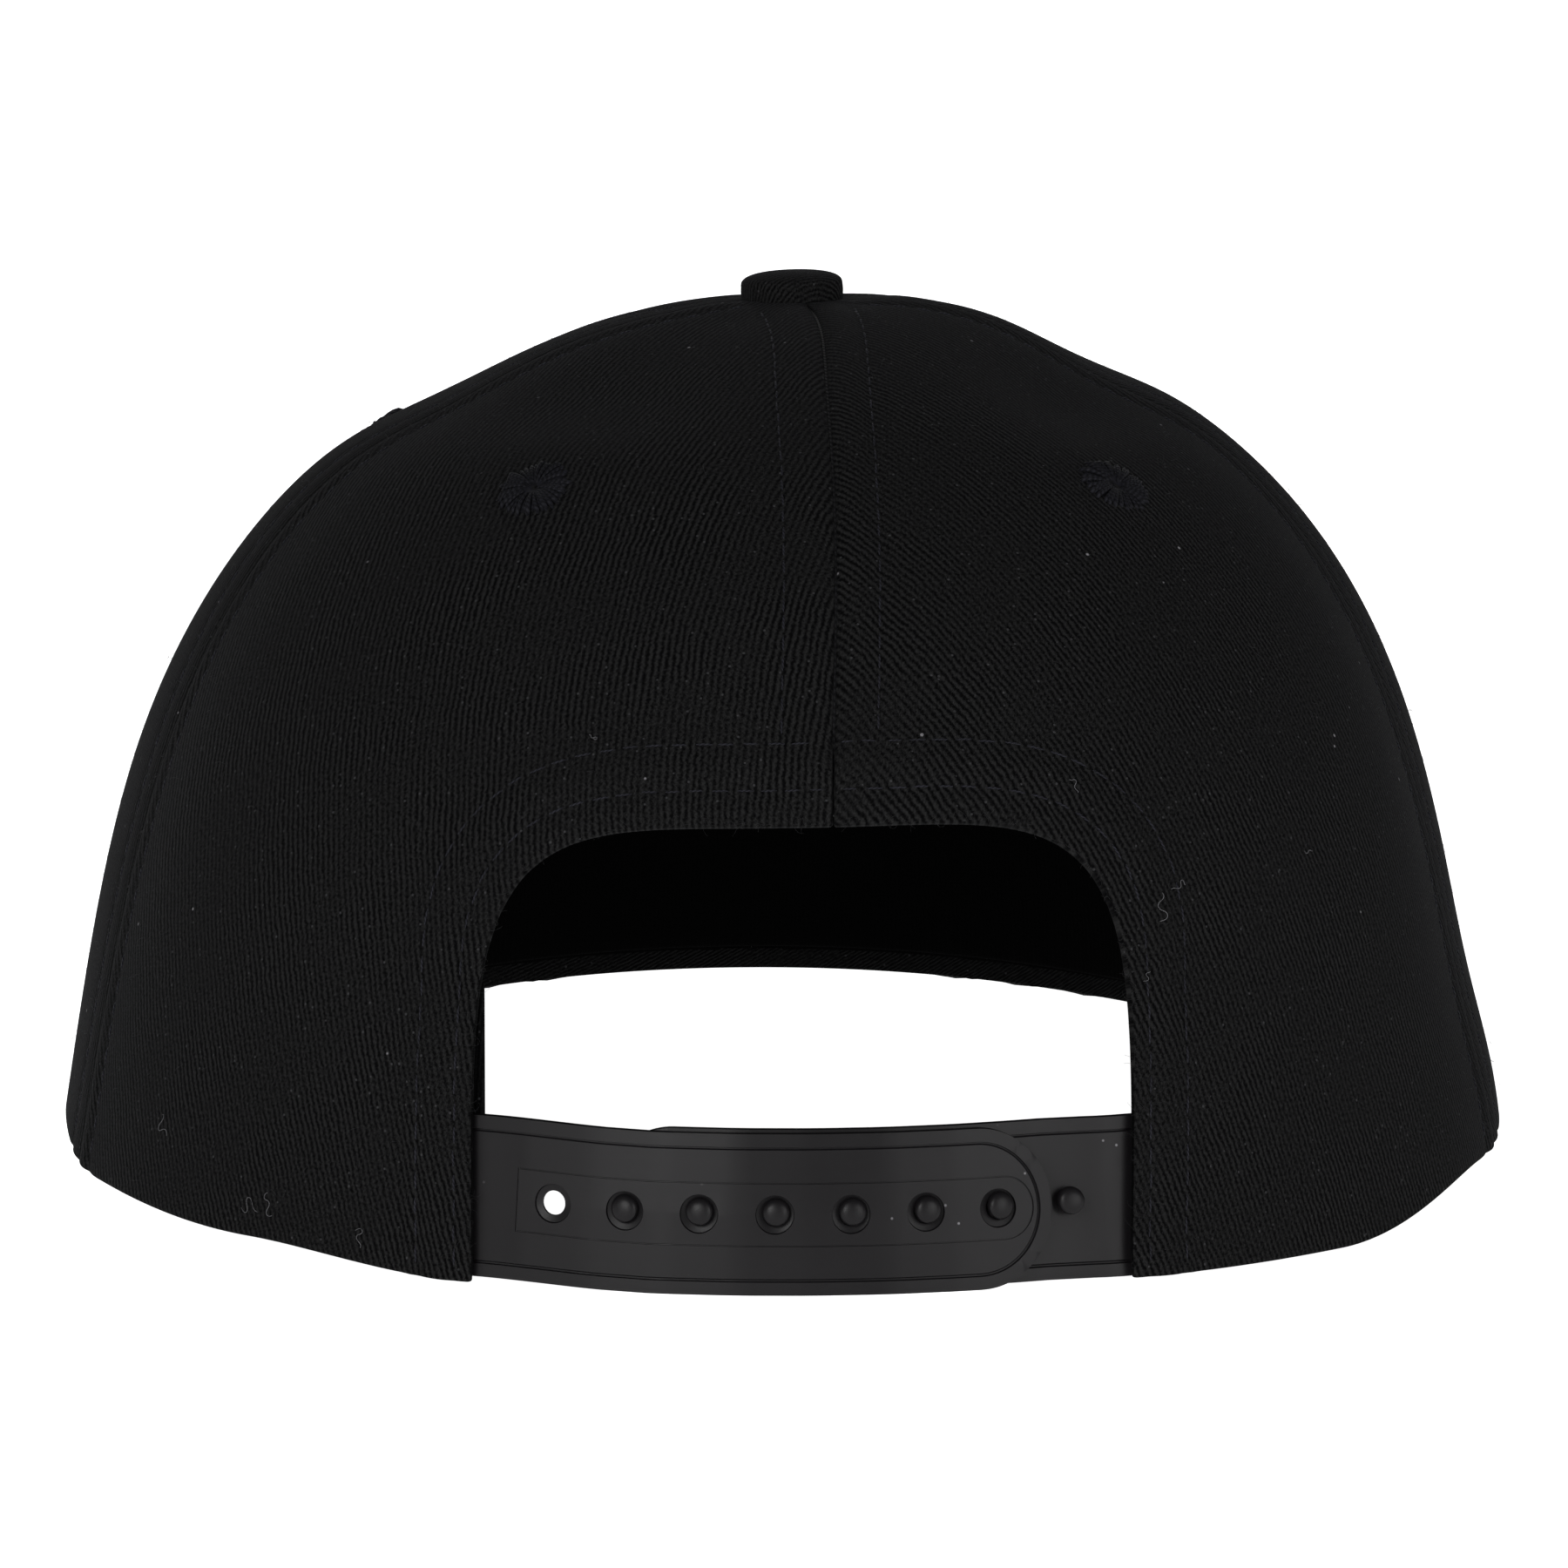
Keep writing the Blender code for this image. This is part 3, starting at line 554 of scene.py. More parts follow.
def cotton_twill(
    name, grain, pitch=0.00075, dark=(0.0012, 0.0012, 0.0013), light=(0.0118, 0.0118, 0.0119)
):
    """Black twill: slanting ribs that fade and come back, furred over with short fibres and dusty.
    Its colour follows the weave's height, with painted shade darkening the valleys between the ribs.
    Faces that look inward, marked by their inner value, are the backing, painted near black as
    painted shade of the cap's inside."""
    made = Finish(name)
    cut = made.place("pattern")
    u, v, _ = made.apart(cut)
    c, s = math.cos(math.radians(grain)), math.sin(math.radians(grain))
    sway = made.noise(cut, 90.0, 2.0)
    wobble = made.noise(cut, 900.0, 2.0)
    knots = made.noise(cut, 2500.0, 2.0, 0.65)
    fine = made.noise(cut, 6500.0, 2.0, 0.7)
    patches = made.noise(cut, 75.0, 2.0, 0.55).between(0.36, 0.64)
    turns = (u * c - v * s) / pitch + sway * 1.3 + wobble * 0.75
    along = (u * s + v * c) / (pitch * 0.82) + turns.floor() * 0.37 + wobble * 0.5
    rib = turns.wave()
    thread = (along + turns * 0.6).wave()
    height = (rib - 0.5) * (patches * 0.26 + 0.13) + rib * thread * 0.16 + knots * 0.95 + fine * 0.62
    clouds = made.noise(cut, 34.0, 3.0, 0.6)
    # Colour from the weave's height: the knots' and fibres' own tone, and painted shade that darkens the
    # valleys between the ribs.
    tone_and_rib_shade = (height - 0.62) * (clouds * 0.4 + 1.85)
    colour = made.mix(tone_and_rib_shade.clip(), dark, light)
    space = made.place()
    lint = made.specks(space, 420.0, 0.11, 0.040)
    colour = made.mix(lint * 0.8, colour, (0.16, 0.155, 0.165))
    flecks = made.specks(space, 1150.0, 0.24, 0.16)
    colour = made.mix(flecks * 0.55, colour, (0.040, 0.040, 0.042))
    # Faces that look inward are painted near black: painted shade of the cap's inside.
    inner = made.node("ShaderNodeAttribute", {"attribute_name": "inner"}, {}, "Fac")
    colour = made.mix(inner, colour, (0.0009, 0.0009, 0.0009))
    return made.surface(
        Base_Color=colour,
        Roughness=0.96 - rib * 0.10,
        Normal=made.bump(height, 0.00016, 0.8),
        Specular_IOR_Level=0.02,
        Sheen_Weight=0.010,
        Sheen_Roughness=0.35,
        Sheen_Tint=(0.90, 0.92, 1.0, 1.0),
    )


def mesh_piece(name):
    piece = bpy.context.object
    piece.name = name
    piece.data.name = name
    return piece


def set_pattern(piece, flat):
    """The UV map in metres, from one flat point a vertex."""
    mesh = piece.data
    corner = np.empty(len(mesh.loops), np.int32)
    mesh.loops.foreach_get("vertex_index", corner)
    mesh.uv_layers[0].name = "pattern"
    mesh.uv_layers[0].data.foreach_set("uv", flat[corner].astype(np.float32).ravel())


def laid_grid(name, spots, flat):
    """A flat grid moved onto rows of points, with its cutting pattern."""
    rows, columns = spots.shape[0] - 1, spots.shape[1] - 1
    bpy.ops.mesh.primitive_grid_add(x_subdivisions=columns, y_subdivisions=rows, size=1.0)
    piece = mesh_piece(name)
    co = np.array([v.co for v in piece.data.vertices], float)
    i = np.rint((co[:, 0] + 0.5) * columns).astype(int)
    j = np.rint((co[:, 1] + 0.5) * rows).astype(int)
    piece.data.vertices.foreach_set("co", spots[j, i].astype(np.float32).ravel())
    set_pattern(piece, flat[j, i])
    return piece


def panel_sheet(name, angle, height, number):
    """A panel's cloth, its pattern laid flat from the middle of the foot."""
    centre = (seam_angle(number, 0.0) + seam_angle(number + 1, 0.0)) / 2.0
    fan = 0.72 + 0.36 * ease(height / 0.50) - 0.10 * np.clip(height, 0.0, 1.0) ** 2
    turn, radius = np.radians(angle - centre) * fan, radius_at(angle, height) / fan
    v = np.interp(height, MARKS, RUNS) + radius * (1.0 - np.cos(turn))
    u = radius * np.sin(turn) + (1.6 * v * v if number == 0 else 0.0)
    return laid_grid(name, skin(number, angle, height), np.stack((u, v), -1))


def outward(piece, centre):
    """Turn an open sheet's faces away from a point."""
    mesh = piece.data
    total = sum((f.center - centre).dot(f.normal) * f.area for f in mesh.polygons)
    if total < 0.0:
        mesh.flip_normals()
    mesh.update()


def use(piece):
    bpy.ops.object.select_all(action="DESELECT")
    bpy.context.view_layer.objects.active = piece
    piece.select_set(True)


def in_edit_mode(edit=True):
    bpy.ops.object.mode_set(mode="EDIT" if edit else "OBJECT")


def select_every(action="SELECT"):
    bpy.ops.mesh.select_all(action=action)


def give(piece, kind, **settings):
    """Add a modifier and apply it."""
    use(piece)
    step = piece.modifiers.new(kind.lower(), kind)
    for key, value in settings.items():
        setattr(step, key, value)
    bpy.ops.object.modifier_apply(modifier=step.name)


def rolled_edges(piece, offset, segments, allowed=None):
    """Round over the edges that turn by more than 60 degrees."""
    use(piece)
    in_edit_mode()
    bpy.ops.mesh.select_mode(type="EDGE")
    select_every("DESELECT")
    mesh = bmesh.from_edit_mesh(piece.data)
    for edge in mesh.edges:
        sharp = len(edge.link_faces) == 2 and edge.calc_face_angle(0.0) > math.radians(60.0)
        if sharp and (allowed is None or all(allowed(v.co) for v in edge.verts)):
            edge.select = True
    bmesh.update_edit_mesh(piece.data)
    bpy.ops.mesh.bevel(offset=offset, segments=segments, affect="EDGES", clamp_overlap=True)
    in_edit_mode(False)
    bpy.ops.object.shade_smooth()


def finish_piece(piece, material, slot, *stands_for):
    piece.data.materials.clear()
    piece.data.materials.append(material)
    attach(piece, "root")
    if stands_for:
        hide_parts(*stands_for)
    return piece


def mark_inner(piece, centre):
    """Give each face a value: 1 where it looks toward the middle of the cap, 0 outside."""
    mesh = piece.data
    middle = np.empty(len(mesh.polygons) * 3, np.float32)
    normal = np.empty(len(mesh.polygons) * 3, np.float32)
    mesh.polygons.foreach_get("center", middle)
    mesh.polygons.foreach_get("normal", normal)
    toward = ((np.array(centre) - middle.reshape(-1, 3)) * normal.reshape(-1, 3)).sum(1)
    inner = mesh.attributes.new("inner", "FLOAT", "FACE")
    inner.data.foreach_set("value", (toward > 0.004).astype(np.float32))


def clear_of_top(co):
    x, y = co.x - MIDDLE[0] - TOP_SIDEWAYS, co.y - MIDDLE[1] + TOP_FORWARD
    return math.hypot(x, y) > 0.0075


panels = []
for number, row in enumerate(PANELS):
    angle, height = leaf_over_arch(number) if number in (0, 5) else leaf(number)
    panel = panel_sheet(row["name"] + "_cloth", angle, height, number)
    outward(panel, Vector(INSIDE))
    give(panel, "SOLIDIFY", thickness=CLOTH_THICKNESS, offset=-1.0)
    rolled_edges(panel, CLOTH_EDGE, 3, clear_of_top)
    mark_inner(panel, INSIDE)
    finish_piece(panel, cotton_twill("twill_" + row["name"], row["grain"]), "twill_cloth", row["name"])
    panels.append(panel)
for number, panel in enumerate(panels):
    beside = [panels[number - 1].name, panels[(number + 1) % 6].name]


# The top-stitching: a row of black thread on each side of every seam, two round the opening, and
# the seam's own stitches, short bars down in the groove, with the turned cloth behind them.

STITCH_PITCH, STITCH_LENGTH, THREAD = 0.0029, 0.0025, 0.00014
BAR_PITCH, BAR_WIDTH, SEAM_DEPTH = 0.0016, 0.0004, 0.00050


def stitch_model(length, radius, dip, sides=6, rings=6):
    """One float of thread, lying along X and diving at both ends; its points, faces and UV."""
    bpy.ops.mesh.primitive_uv_sphere_add(
        segments=sides, ring_count=rings, radius=1.0, rotation=(0.0, math.radians(90.0), 0.0)
    )
    one = bpy.context.object
    bpy.ops.object.transform_apply(location=False, rotation=True, scale=False)
    co = np.array([v.co for v in one.data.vertices], float)
    x = co[:, 0].copy()
    plump = np.sqrt(np.maximum(1.0 - x * x, 1e-9))
    co[:, 1:] *= (np.maximum(1.0 - x ** 4, 0.0) ** 0.5 / plump)[:, None] * radius
    co[:, 0] = np.sign(x) * np.abs(x) ** 1.3 * length / 2.0
    co[:, 2] -= dip * x ** 4
    faces = [tuple(f.vertices) for f in one.data.polygons]
    layer = one.data.uv_layers[0].data
    uv = np.array([layer[k].uv[:] for f in one.data.polygons for k in f.loop_indices])
    bpy.data.objects.remove(one, do_unlink=True)
    return co, faces, uv


def thread_piece(name, spots, faces, uv):
    """A smooth piece from points, faces and UV."""
    mesh = bpy.data.meshes.new(name)
    mesh.from_pydata(spots.tolist(), [], faces)
    layer = mesh.uv_layers.new(name="pattern")
    layer.data.foreach_set("uv", uv.astype(np.float32).ravel())
    mesh.polygons.foreach_set("use_smooth", [True] * len(mesh.polygons))
    mesh.update()
    piece = bpy.data.objects.new(name, mesh)
    bpy.context.collection.objects.link(piece)
    return piece


def repeated(name, model, places):
    """One piece made of the same small form at many places, each a 4 by 4 matrix."""
    co, faces, uv = model
    places = np.asarray(places, float)
    spots = np.einsum("mij,nj->mni", places[:, :3, :3], co) + places[:, None, :3, 3]
    count = len(co)
    many = [tuple(k + m * count for k in face) for m in range(len(places)) for face in faces]
    return thread_piece(name, spots.reshape(-1, 3), many, np.tile(uv, (len(places), 1)))


def placed(x_axis, outs, spots):
    """Matrices whose X runs along x_axis and whose Z faces out."""
    x = x_axis / np.linalg.norm(x_axis, axis=-1, keepdims=True)
    y = np.cross(outs, x)
    y /= np.linalg.norm(y, axis=-1, keepdims=True)
    z = np.cross(x, y)
    places = np.zeros((len(spots), 4, 4))
    places[:, :3, 0], places[:, :3, 1], places[:, :3, 2], places[:, :3, 3] = x, y, z, spots
    places[:, 3, 3] = 1.0
    return places


def in_row(spots, outs, pitch, length, chance, start=0.0008, stray=0.00005):
    """Places for stitches that follow each other along a line."""
    run = run_along(spots)
    starts = np.arange(start, run[-1] - length, pitch)
    starts = starts + chance.uniform(-0.06, 0.06, len(starts)) * pitch

    def at(where, values):
        return np.stack([np.interp(where, run, values[:, k]) for k in range(3)], -1)

    a, b, out = at(starts, spots), at(starts + length, spots), at(starts + length / 2.0, outs)
    across = np.cross(out, b - a)
    across /= np.linalg.norm(across, axis=-1, keepdims=True)
    a = a + across * chance.normal(0.0, stray, (len(a), 1))
    b = b + across * chance.normal(0.0, stray, (len(a), 1))
    return placed(b - a, out, (a + b) / 2.0)


def sewing_thread(name, dark=(0.0024, 0.0024, 0.0031), light=(0.0190, 0.0190, 0.0250)):
    """Spun black thread with a faint blue cast: the plies wind round it, their crests and fibres painted
    lighter as painted highlight and the grooves darker as painted shade.
    """
    made = Finish(name)
    u, v, _ = made.apart(made.place("pattern"))
    space = made.place()
    ply = (u * 2.0 + v * 5.0).wave()
    fine = made.noise(space, 5200.0, 3.0, 0.7)
    cast = made.noise(space, 160.0, 1.0)
    height = ply * 0.7 + fine * 0.3
    # Painted highlight on the ply crests and fibres and painted shade between them; the cast noise
    # varies how strong they are.
    colour = made.mix((height * (cast * 1.0 + 0.35)).clip(), dark, light)
    return made.surface(
        Base_Color=colour,
        Roughness=0.80 - ply * 0.20,
        Normal=made.bump(height, 0.00010, 0.8),
        Specular_IOR_Level=0.08,
        Sheen_Weight=0.015,
        Sheen_Roughness=0.4,
    )


def round_thread(line, aside, third, radius, sides):
    """A closed thread along points, with two directions across it at each."""
    turn = np.arange(sides) * 2.0 * np.pi / sides
    ring = aside[:, None] * np.cos(turn)[None, :, None] + third[:, None] * np.sin(turn)[None, :, None]
    co = (line[:, None] + ring * radius[:, None, None]).reshape(-1, 3)
    faces, uv = [], []
    for j in range(len(line) - 1):
        for i in range(sides):
            k = (i + 1) % sides
            faces.append((j * sides + i, (j + 1) * sides + i, (j + 1) * sides + k, j * sides + k))
            uv += [(i / sides, j * 0.2), (i / sides, j * 0.2 + 0.2),
                   ((i + 1) / sides, j * 0.2 + 0.2), ((i + 1) / sides, j * 0.2)]
    last = (len(line) - 1) * sides
    faces.append(tuple(range(sides)))
    faces.append(tuple(last + i for i in reversed(range(sides))))
    uv += [(0.0, 0.0)] * (2 * sides)
    return co, faces, np.array(uv)


def gathered(name, parts, matrix=None):
    """One piece from many small forms, put at a place."""
    faces, start = [], 0
    for co, sides, _ in parts:
        faces += [tuple(k + start for k in side) for side in sides]
        start += len(co)
    spots, uv = (np.concatenate([form[k] for form in parts]) for k in (0, 2))
    piece = thread_piece(name, spots, faces, uv)
    if matrix is not None:
        piece.data.transform(matrix)
    return piece


def seam_line(number, side, w, first=0.0, count=900):
    """Angles and heights of a line w beside a seam, on the panel that side names."""
    seam = number if side > 0 else number + 1
    along = np.linspace(first, TIP_RUN - 0.0015, count)
    height = np.interp(along, RUNS, MARKS)
    middle = seam_angle(seam, height)
    turn = np.degrees(np.arctan2(w, radius_at(middle, height)))
    angle = middle + side * turn
    half = (seam_angle(number + 1, height) - seam_angle(number, height)) / 2.0
    keep = turn < half * 0.94
    shifted = np.hypot(TIP_RUN + 0.002 - along, w) - (TIP_RUN + 0.002 - along)
    height = np.interp(np.maximum(along - shifted, 0.0), RUNS, MARKS)
    return angle[keep], height[keep]


def clear_of_arch(number, angle, height, room):
    """Drop the points that fall in the opening or nearer its edge than room."""
    if number not in (0, 5):
        return angle, height
    spots = smooth_cloth(number, angle, height)
    inside = (np.abs(spots[..., 0]) < ARCH_HALF) & (spots[..., 2] < ARCH_TOP)
    keep = ~inside & (from_arch(spots)[0] > room)
    return angle[keep], height[keep]


def top_row(number, angle, height):
    """Stitches that follow a line on a panel."""
    spots = skin(number, angle, height, THREAD * 0.35)
    return in_row(spots, facing(angle, height), STITCH_PITCH, STITCH_LENGTH, chance)


chance = np.random.default_rng(11)
float_model = stitch_model(STITCH_LENGTH, THREAD, 0.00022)
bar_model = stitch_model(0.00105, 0.00009, 0.00010, 5, 4)
black_thread = sewing_thread("top_thread")
seam_thread = sewing_thread(
    "seam_thread", (0.0012, 0.0012, 0.0014), (0.0090, 0.0090, 0.0100)
)
for number, row in enumerate(PANELS):
    rows = []
    for side in (1.0, -1.0):
        beside = MIDDLE_ROW if (number, side) == (0, 1.0) else SEAM_ROW
        angle, height = seam_line(number, side, beside, 0.0012)
        rows.append(top_row(number, *clear_of_arch(number, angle, height, 0.0112)))
    if number in (0, 5):
        edge_angle, edge_height = ARCH[number]
        base = smooth_cloth(number, edge_angle, edge_height)
        outs = facing(edge_angle, edge_height)
        away = np.cross(np.gradient(base, axis=0), outs)
        away /= np.linalg.norm(away, axis=-1, keepdims=True)
        if away[0, 0] * base[0, 0] < 0.0:
            away = -away
        for arch in ARCH_ROWS:
            goal = base + away * arch_row(arch, base[:, 2])[:, None]
            angle, height = on_back(number, goal[:, 0], np.maximum(goal[:, 2], 0.0004))
            angle = angle + FULL_TURN[number]
            seam = PANELS[0]["foot"] + FULL_TURN[number]
            keep = (height > 0.006) & ((angle > seam) if number == 0 else (angle < seam))
            rows.append(top_row(number, angle[keep], height[keep]))
    angle, height = seam_line(number, 1.0, 0.0, 0.0020)
    angle, height = clear_of_arch(number, angle, height, 0.0015)
    outs = facing(angle, height)
    sunk = lift(number, angle, height) - SEAM_DEPTH
    spots = shell(angle, height) + outs * sunk[..., None] + MIDDLE
    bars = in_row(spots, outs, BAR_PITCH, BAR_WIDTH, chance)
    bars = bars[:, :, [1, 0, 2, 3]] * np.array([1.0, -1.0, 1.0, 1.0])
    threads = repeated(row["name"] + "_stitches", float_model, np.concatenate(rows))
    finish_piece(threads, black_thread, "eyelet_thread")
    seam = repeated(row["name"] + "_seam_bars", bar_model, bars)
    finish_piece(seam, seam_thread, "eyelet_thread")
    aside = np.cross(outs, np.gradient(spots, axis=0))[::5]
    aside /= np.linalg.norm(aside, axis=1, keepdims=True)
    behind, wide = spots[::5] - outs[::5] * 0.00022, np.full(len(aside), 0.00040)
    core = round_thread(behind, aside, outs[::5], wide, 6)
    core = gathered(row["name"] + "_seam_core", [core])
    finish_piece(core, seam_thread, "eyelet_thread")


# The eyelets: six rings of satin stitch round a punched air hole, one to a panel. The thread
# crowds at the hole and closes it with its fuzz, and stray fibres stand off the ring.

EYELET_SHARE, EYELET_RADIUS, EYELET_SUNK, SATIN_THREADS = 0.812, 0.0049, 0.00025, 38


def eyelet_frame(number):
    at = np.array(PANELS[number]["eyelet_at"]), np.array(EYELET_SHARE)
    spot, out = skin(number, *at, -EYELET_SUNK), facing(*at)
    turn = Vector(out).to_track_quat("Z", "Y").to_matrix().to_4x4()
    return Matrix.Translation(Vector(spot)) @ turn


def eyelet_pad(name):
    """The low padded ring that the thread is worked over, with a dimple at the hole."""
    bpy.ops.mesh.primitive_uv_sphere_add(segments=40, ring_count=20, radius=1.0)
    pad = mesh_piece(name)
    for v in pad.data.vertices:
        r = min(math.hypot(v.co.x, v.co.y), 1.0)
        high = 0.00055 * (1.0 - r ** 4) - 0.00045 * math.exp(-(r / 0.16) ** 2)
        v.co.x *= EYELET_RADIUS * 0.90
        v.co.y *= EYELET_RADIUS * 0.90
        v.co.z = high if v.co.z > 0.0 else -0.00045
    return pad


def curved_thread(line, radius, sides=5):
    """A closed thread along points in a plane, as points, faces and UV."""
    line, radius = np.asarray(line, float), np.asarray(radius, float)
    lean = np.gradient(line, axis=0)
    lean /= np.linalg.norm(lean, axis=1, keepdims=True)
    aside = np.cross(lean, (0.0, 1.0, 0.0))
    length = np.linalg.norm(aside, axis=1, keepdims=True)
    aside = np.where(length > 0.05, aside / np.maximum(length, 1e-9), (0.0, 0.0, 1.0))
    return round_thread(line, aside, np.cross(lean, aside), radius, sides)


def spun(form, turn):
    """A thread turned about the eyelet's middle."""
    co, faces, uv = form
    c, s = math.cos(turn), math.sin(turn)
    return co @ np.array(((c, s, 0.0), (-s, c, 0.0), (0.0, 0.0, 1.0))), faces, uv


def satin(chance, count):
    """One ring of radial threads, no two alike."""
    parts = []
    for k in range(count):
        turn = 2.0 * math.pi * (k + chance.uniform(-0.28, 0.28)) / count
        inner = chance.uniform(0.00025, 0.00075)
        outer = EYELET_RADIUS * chance.uniform(0.90, 1.07)
        r = np.linspace(inner, outer, 8)
        share = (r - inner) / (outer - inner)
        crest = chance.uniform(0.00040, 0.00080)
        high = crest * np.sin(np.pi * np.clip(share * 0.86 + 0.14, 0.0, 1.0)) ** 0.55
        high -= 0.00042 * hump(share, 0.16) + 0.00030 * share ** 8
        sway = chance.normal(0.0, 0.05) * share * outer
        line = np.stack((r, sway * share, high), -1)
        wide = 0.00010 + chance.uniform(0.00018, 0.00030) * share ** 0.7
        wide *= np.where(share > 0.98, 0.55, 1.0)
        parts.append(spun(curved_thread(line, wide), turn))
    return parts


def strands(chance, count, reach, length, radius, rise):
    """Loose fibres that start near a disc and curl off it."""
    parts = []
    for _ in range(count):
        turn, r = chance.uniform(0.0, 2.0 * math.pi), reach * math.sqrt(chance.uniform(0.0, 1.0))
        size = length * chance.uniform(0.5, 1.3)
        bend = chance.normal(0.0, 0.9)
        share = np.linspace(0.0, 1.0, 6)
        x = r + size * share * np.cos(bend * share)
        z = rise * np.sin(np.pi * np.clip(share * 0.8 + 0.1, 0.0, 1.0)) * chance.uniform(0.4, 1.3)
        y = size * share * np.sin(bend * share)
        thread = curved_thread(np.stack((x, y, z), -1), np.full(6, radius), 3)
        parts.append(spun(thread, turn))
    return parts


satin_thread = sewing_thread(
    "satin_thread", (0.0012, 0.0012, 0.0017), (0.0085, 0.0085, 0.0115)
)
for number, row in enumerate(PANELS):
    name = row["name"].replace("panel", "eyelet")
    place = eyelet_frame(number)
    pad = eyelet_pad(name + "_pad")
    pad.data.transform(place)
    bpy.ops.object.shade_smooth()
    pad.data.uv_layers[0].name = "pattern"
    finish_piece(pad, satin_thread, "eyelet_thread")
    ring = gathered(name + "_satin", satin(chance, SATIN_THREADS), place)
    finish_piece(ring, satin_thread, "eyelet_thread", name)
    fuzz = strands(chance, 34, 0.0038, 0.0014, 0.000024, 0.0005)
    fuzz += strands(chance, 16, 0.0008, 0.0009, 0.000026, 0.0004)
    fuzz = gathered(name + "_fuzz", fuzz, place)
    finish_piece(fuzz, satin_thread, "eyelet_thread")


# The button: a domed metal shell covered in the crown's own twill, pressed down over the point
# where the six panels meet, its cloth gathered tight under the rim.

BUTTON_RADIUS = 0.0065


def button_cloth():
    bpy.ops.mesh.primitive_uv_sphere_add(segments=72, ring_count=36, radius=1.0)
    button = mesh_piece("button_cover")
    pattern = button.data.uv_layers[0]
    pattern.name = "pattern"
    for v in button.data.vertices:
        r, up = min(math.hypot(v.co.x, v.co.y), 1.0), v.co.z
        turn = math.atan2(v.co.y, v.co.x)
        wide = max(1.0 - max(up, 0.0) ** 2.6, 0.0) ** (1.0 / 2.6) if up > -0.96 else r / 0.28
        gather = 1.0 + 0.012 * math.sin(turn * 13.0) * hump(up + 0.35, 0.35)
        z = 0.00135 + (0.00180 if up > 0.0 else 0.00205) * max(up, -0.96)
        scale = wide / max(r, 1e-9) * BUTTON_RADIUS * gather
        v.co = Vector((v.co.x * scale, v.co.y * scale, z))
    for loop, item in zip(button.data.loops, pattern.data):
        co = button.data.vertices[loop.vertex_index].co
        run = 1.0 + (0.0032 - co.z) / max(math.hypot(co.x, co.y), 0.002)
        item.uv = (co.x * run, co.y * run)
    place = Matrix.Translation((
        TOP_SIDEWAYS + MIDDLE[0] + 0.0004, -TOP_FORWARD + MIDDLE[1], CROWN_HEIGHT + 0.0003,
    ))
    button.data.transform(place @ Matrix.Rotation(math.radians(2.0), 4, "Y"))
    bpy.ops.object.shade_smooth()
    return button


finish_piece(button_cloth(), cotton_twill("button_twill", 62.0, 0.00070), "button_cloth", "button")


# The brim: a stiff curved board covered in the same twill, with rows of stitching that follow
# its edge and a narrow turned edge all round.

BRIM_ROWS = (0.0030, 0.0100, 0.0170, 0.0240, 0.0310, 0.0380, 0.0450, 0.0520)
EDGE_LINE = np.stack(brim_edge(np.linspace(0.0, 1.0, 900)), -1)


def from_brim_edge(x, y):
    return nearest(np.stack((x, y), -1), EDGE_LINE)[0]


def brim_face(x, y, away):
    z = RIM_HEIGHT - brim_drop(x, y)
    for row in BRIM_ROWS:
        z = z - 0.00022 * hump(away - row, 0.0009)
    return z


def brim_board():
    columns, rows = 150, 84
    share = np.linspace(0.0, 1.0, columns + 1)[None, :]
    angle = BRIM_CORNER + (360.0 - 2.0 * BRIM_CORNER) * share
    inner_x, inner_y = hem_plan(angle)
    shrink = 1.0 - CLOTH_THICKNESS / np.hypot(inner_x, inner_y)
    outer_x, outer_y = brim_edge(share)
    outer_x = outer_x - 0.0036 * np.sign(outer_x) * (1.0 - np.sin(np.pi * share)) ** 6
    t = np.linspace(0.0, 1.0, rows + 1)[:, None]
    x = inner_x * shrink + (outer_x - inner_x * shrink) * t
    y = inner_y * shrink + (outer_y - inner_y * shrink) * t
    z = brim_face(x, y, from_brim_edge(x, y)) + 0.00036 * (1.0 - ease((t - 0.03) / 0.03))
    brim = laid_grid("brim_cover", np.stack((x, y, z), -1) + MIDDLE, np.stack((x, y), -1))
    outward(brim, Vector((0.0, -0.03, -1.0)))
    give(brim, "SOLIDIFY", thickness=BRIM_THICKNESS - 0.0002, offset=-1.0)
    rolled_edges(brim, BRIM_EDGE, 4)
    co = np.array([v.co for v in brim.data.vertices], float)
    set_pattern(brim, np.column_stack((co[:, 0] + co[:, 2], co[:, 1] - co[:, 2])))
    return brim


finish_piece(brim_board(), cotton_twill("brim_twill", 38.0), "brim_cloth", "brim")
rows = []
for w in BRIM_ROWS:
    tangent = np.gradient(EDGE_LINE, axis=0)
    tangent /= np.linalg.norm(tangent, axis=1, keepdims=True)
    line = EDGE_LINE + np.stack((tangent[:, 1], -tangent[:, 0]), -1) * w
    near = np.hypot(line[:, 0], line[:, 1])
    rim = np.hypot(*hem_plan(np.degrees(np.arctan2(line[:, 0], line[:, 1]))))
    keep = (near > rim + 0.0010) & (np.abs(from_brim_edge(line[:, 0], line[:, 1]) - w) < 0.0002)
    line = line[keep]
    z = brim_face(line[:, 0], line[:, 1], np.full(len(line), w)) + THREAD * 0.35
    spots = np.column_stack((line, z)) + MIDDLE
    outs = np.tile((0.0, 0.0, 1.0), (len(line), 1))
    rows.append(in_row(spots, outs, STITCH_PITCH, STITCH_LENGTH, chance))
finish_piece(repeated("brim_stitches", float_model, np.concatenate(rows)), black_thread, "eyelet_thread")


# The sweatband: a strip of close black cotton over a thin filling, sewn in along the hem and
# standing up inside the crown. Its ends stop at the sides of the opening.

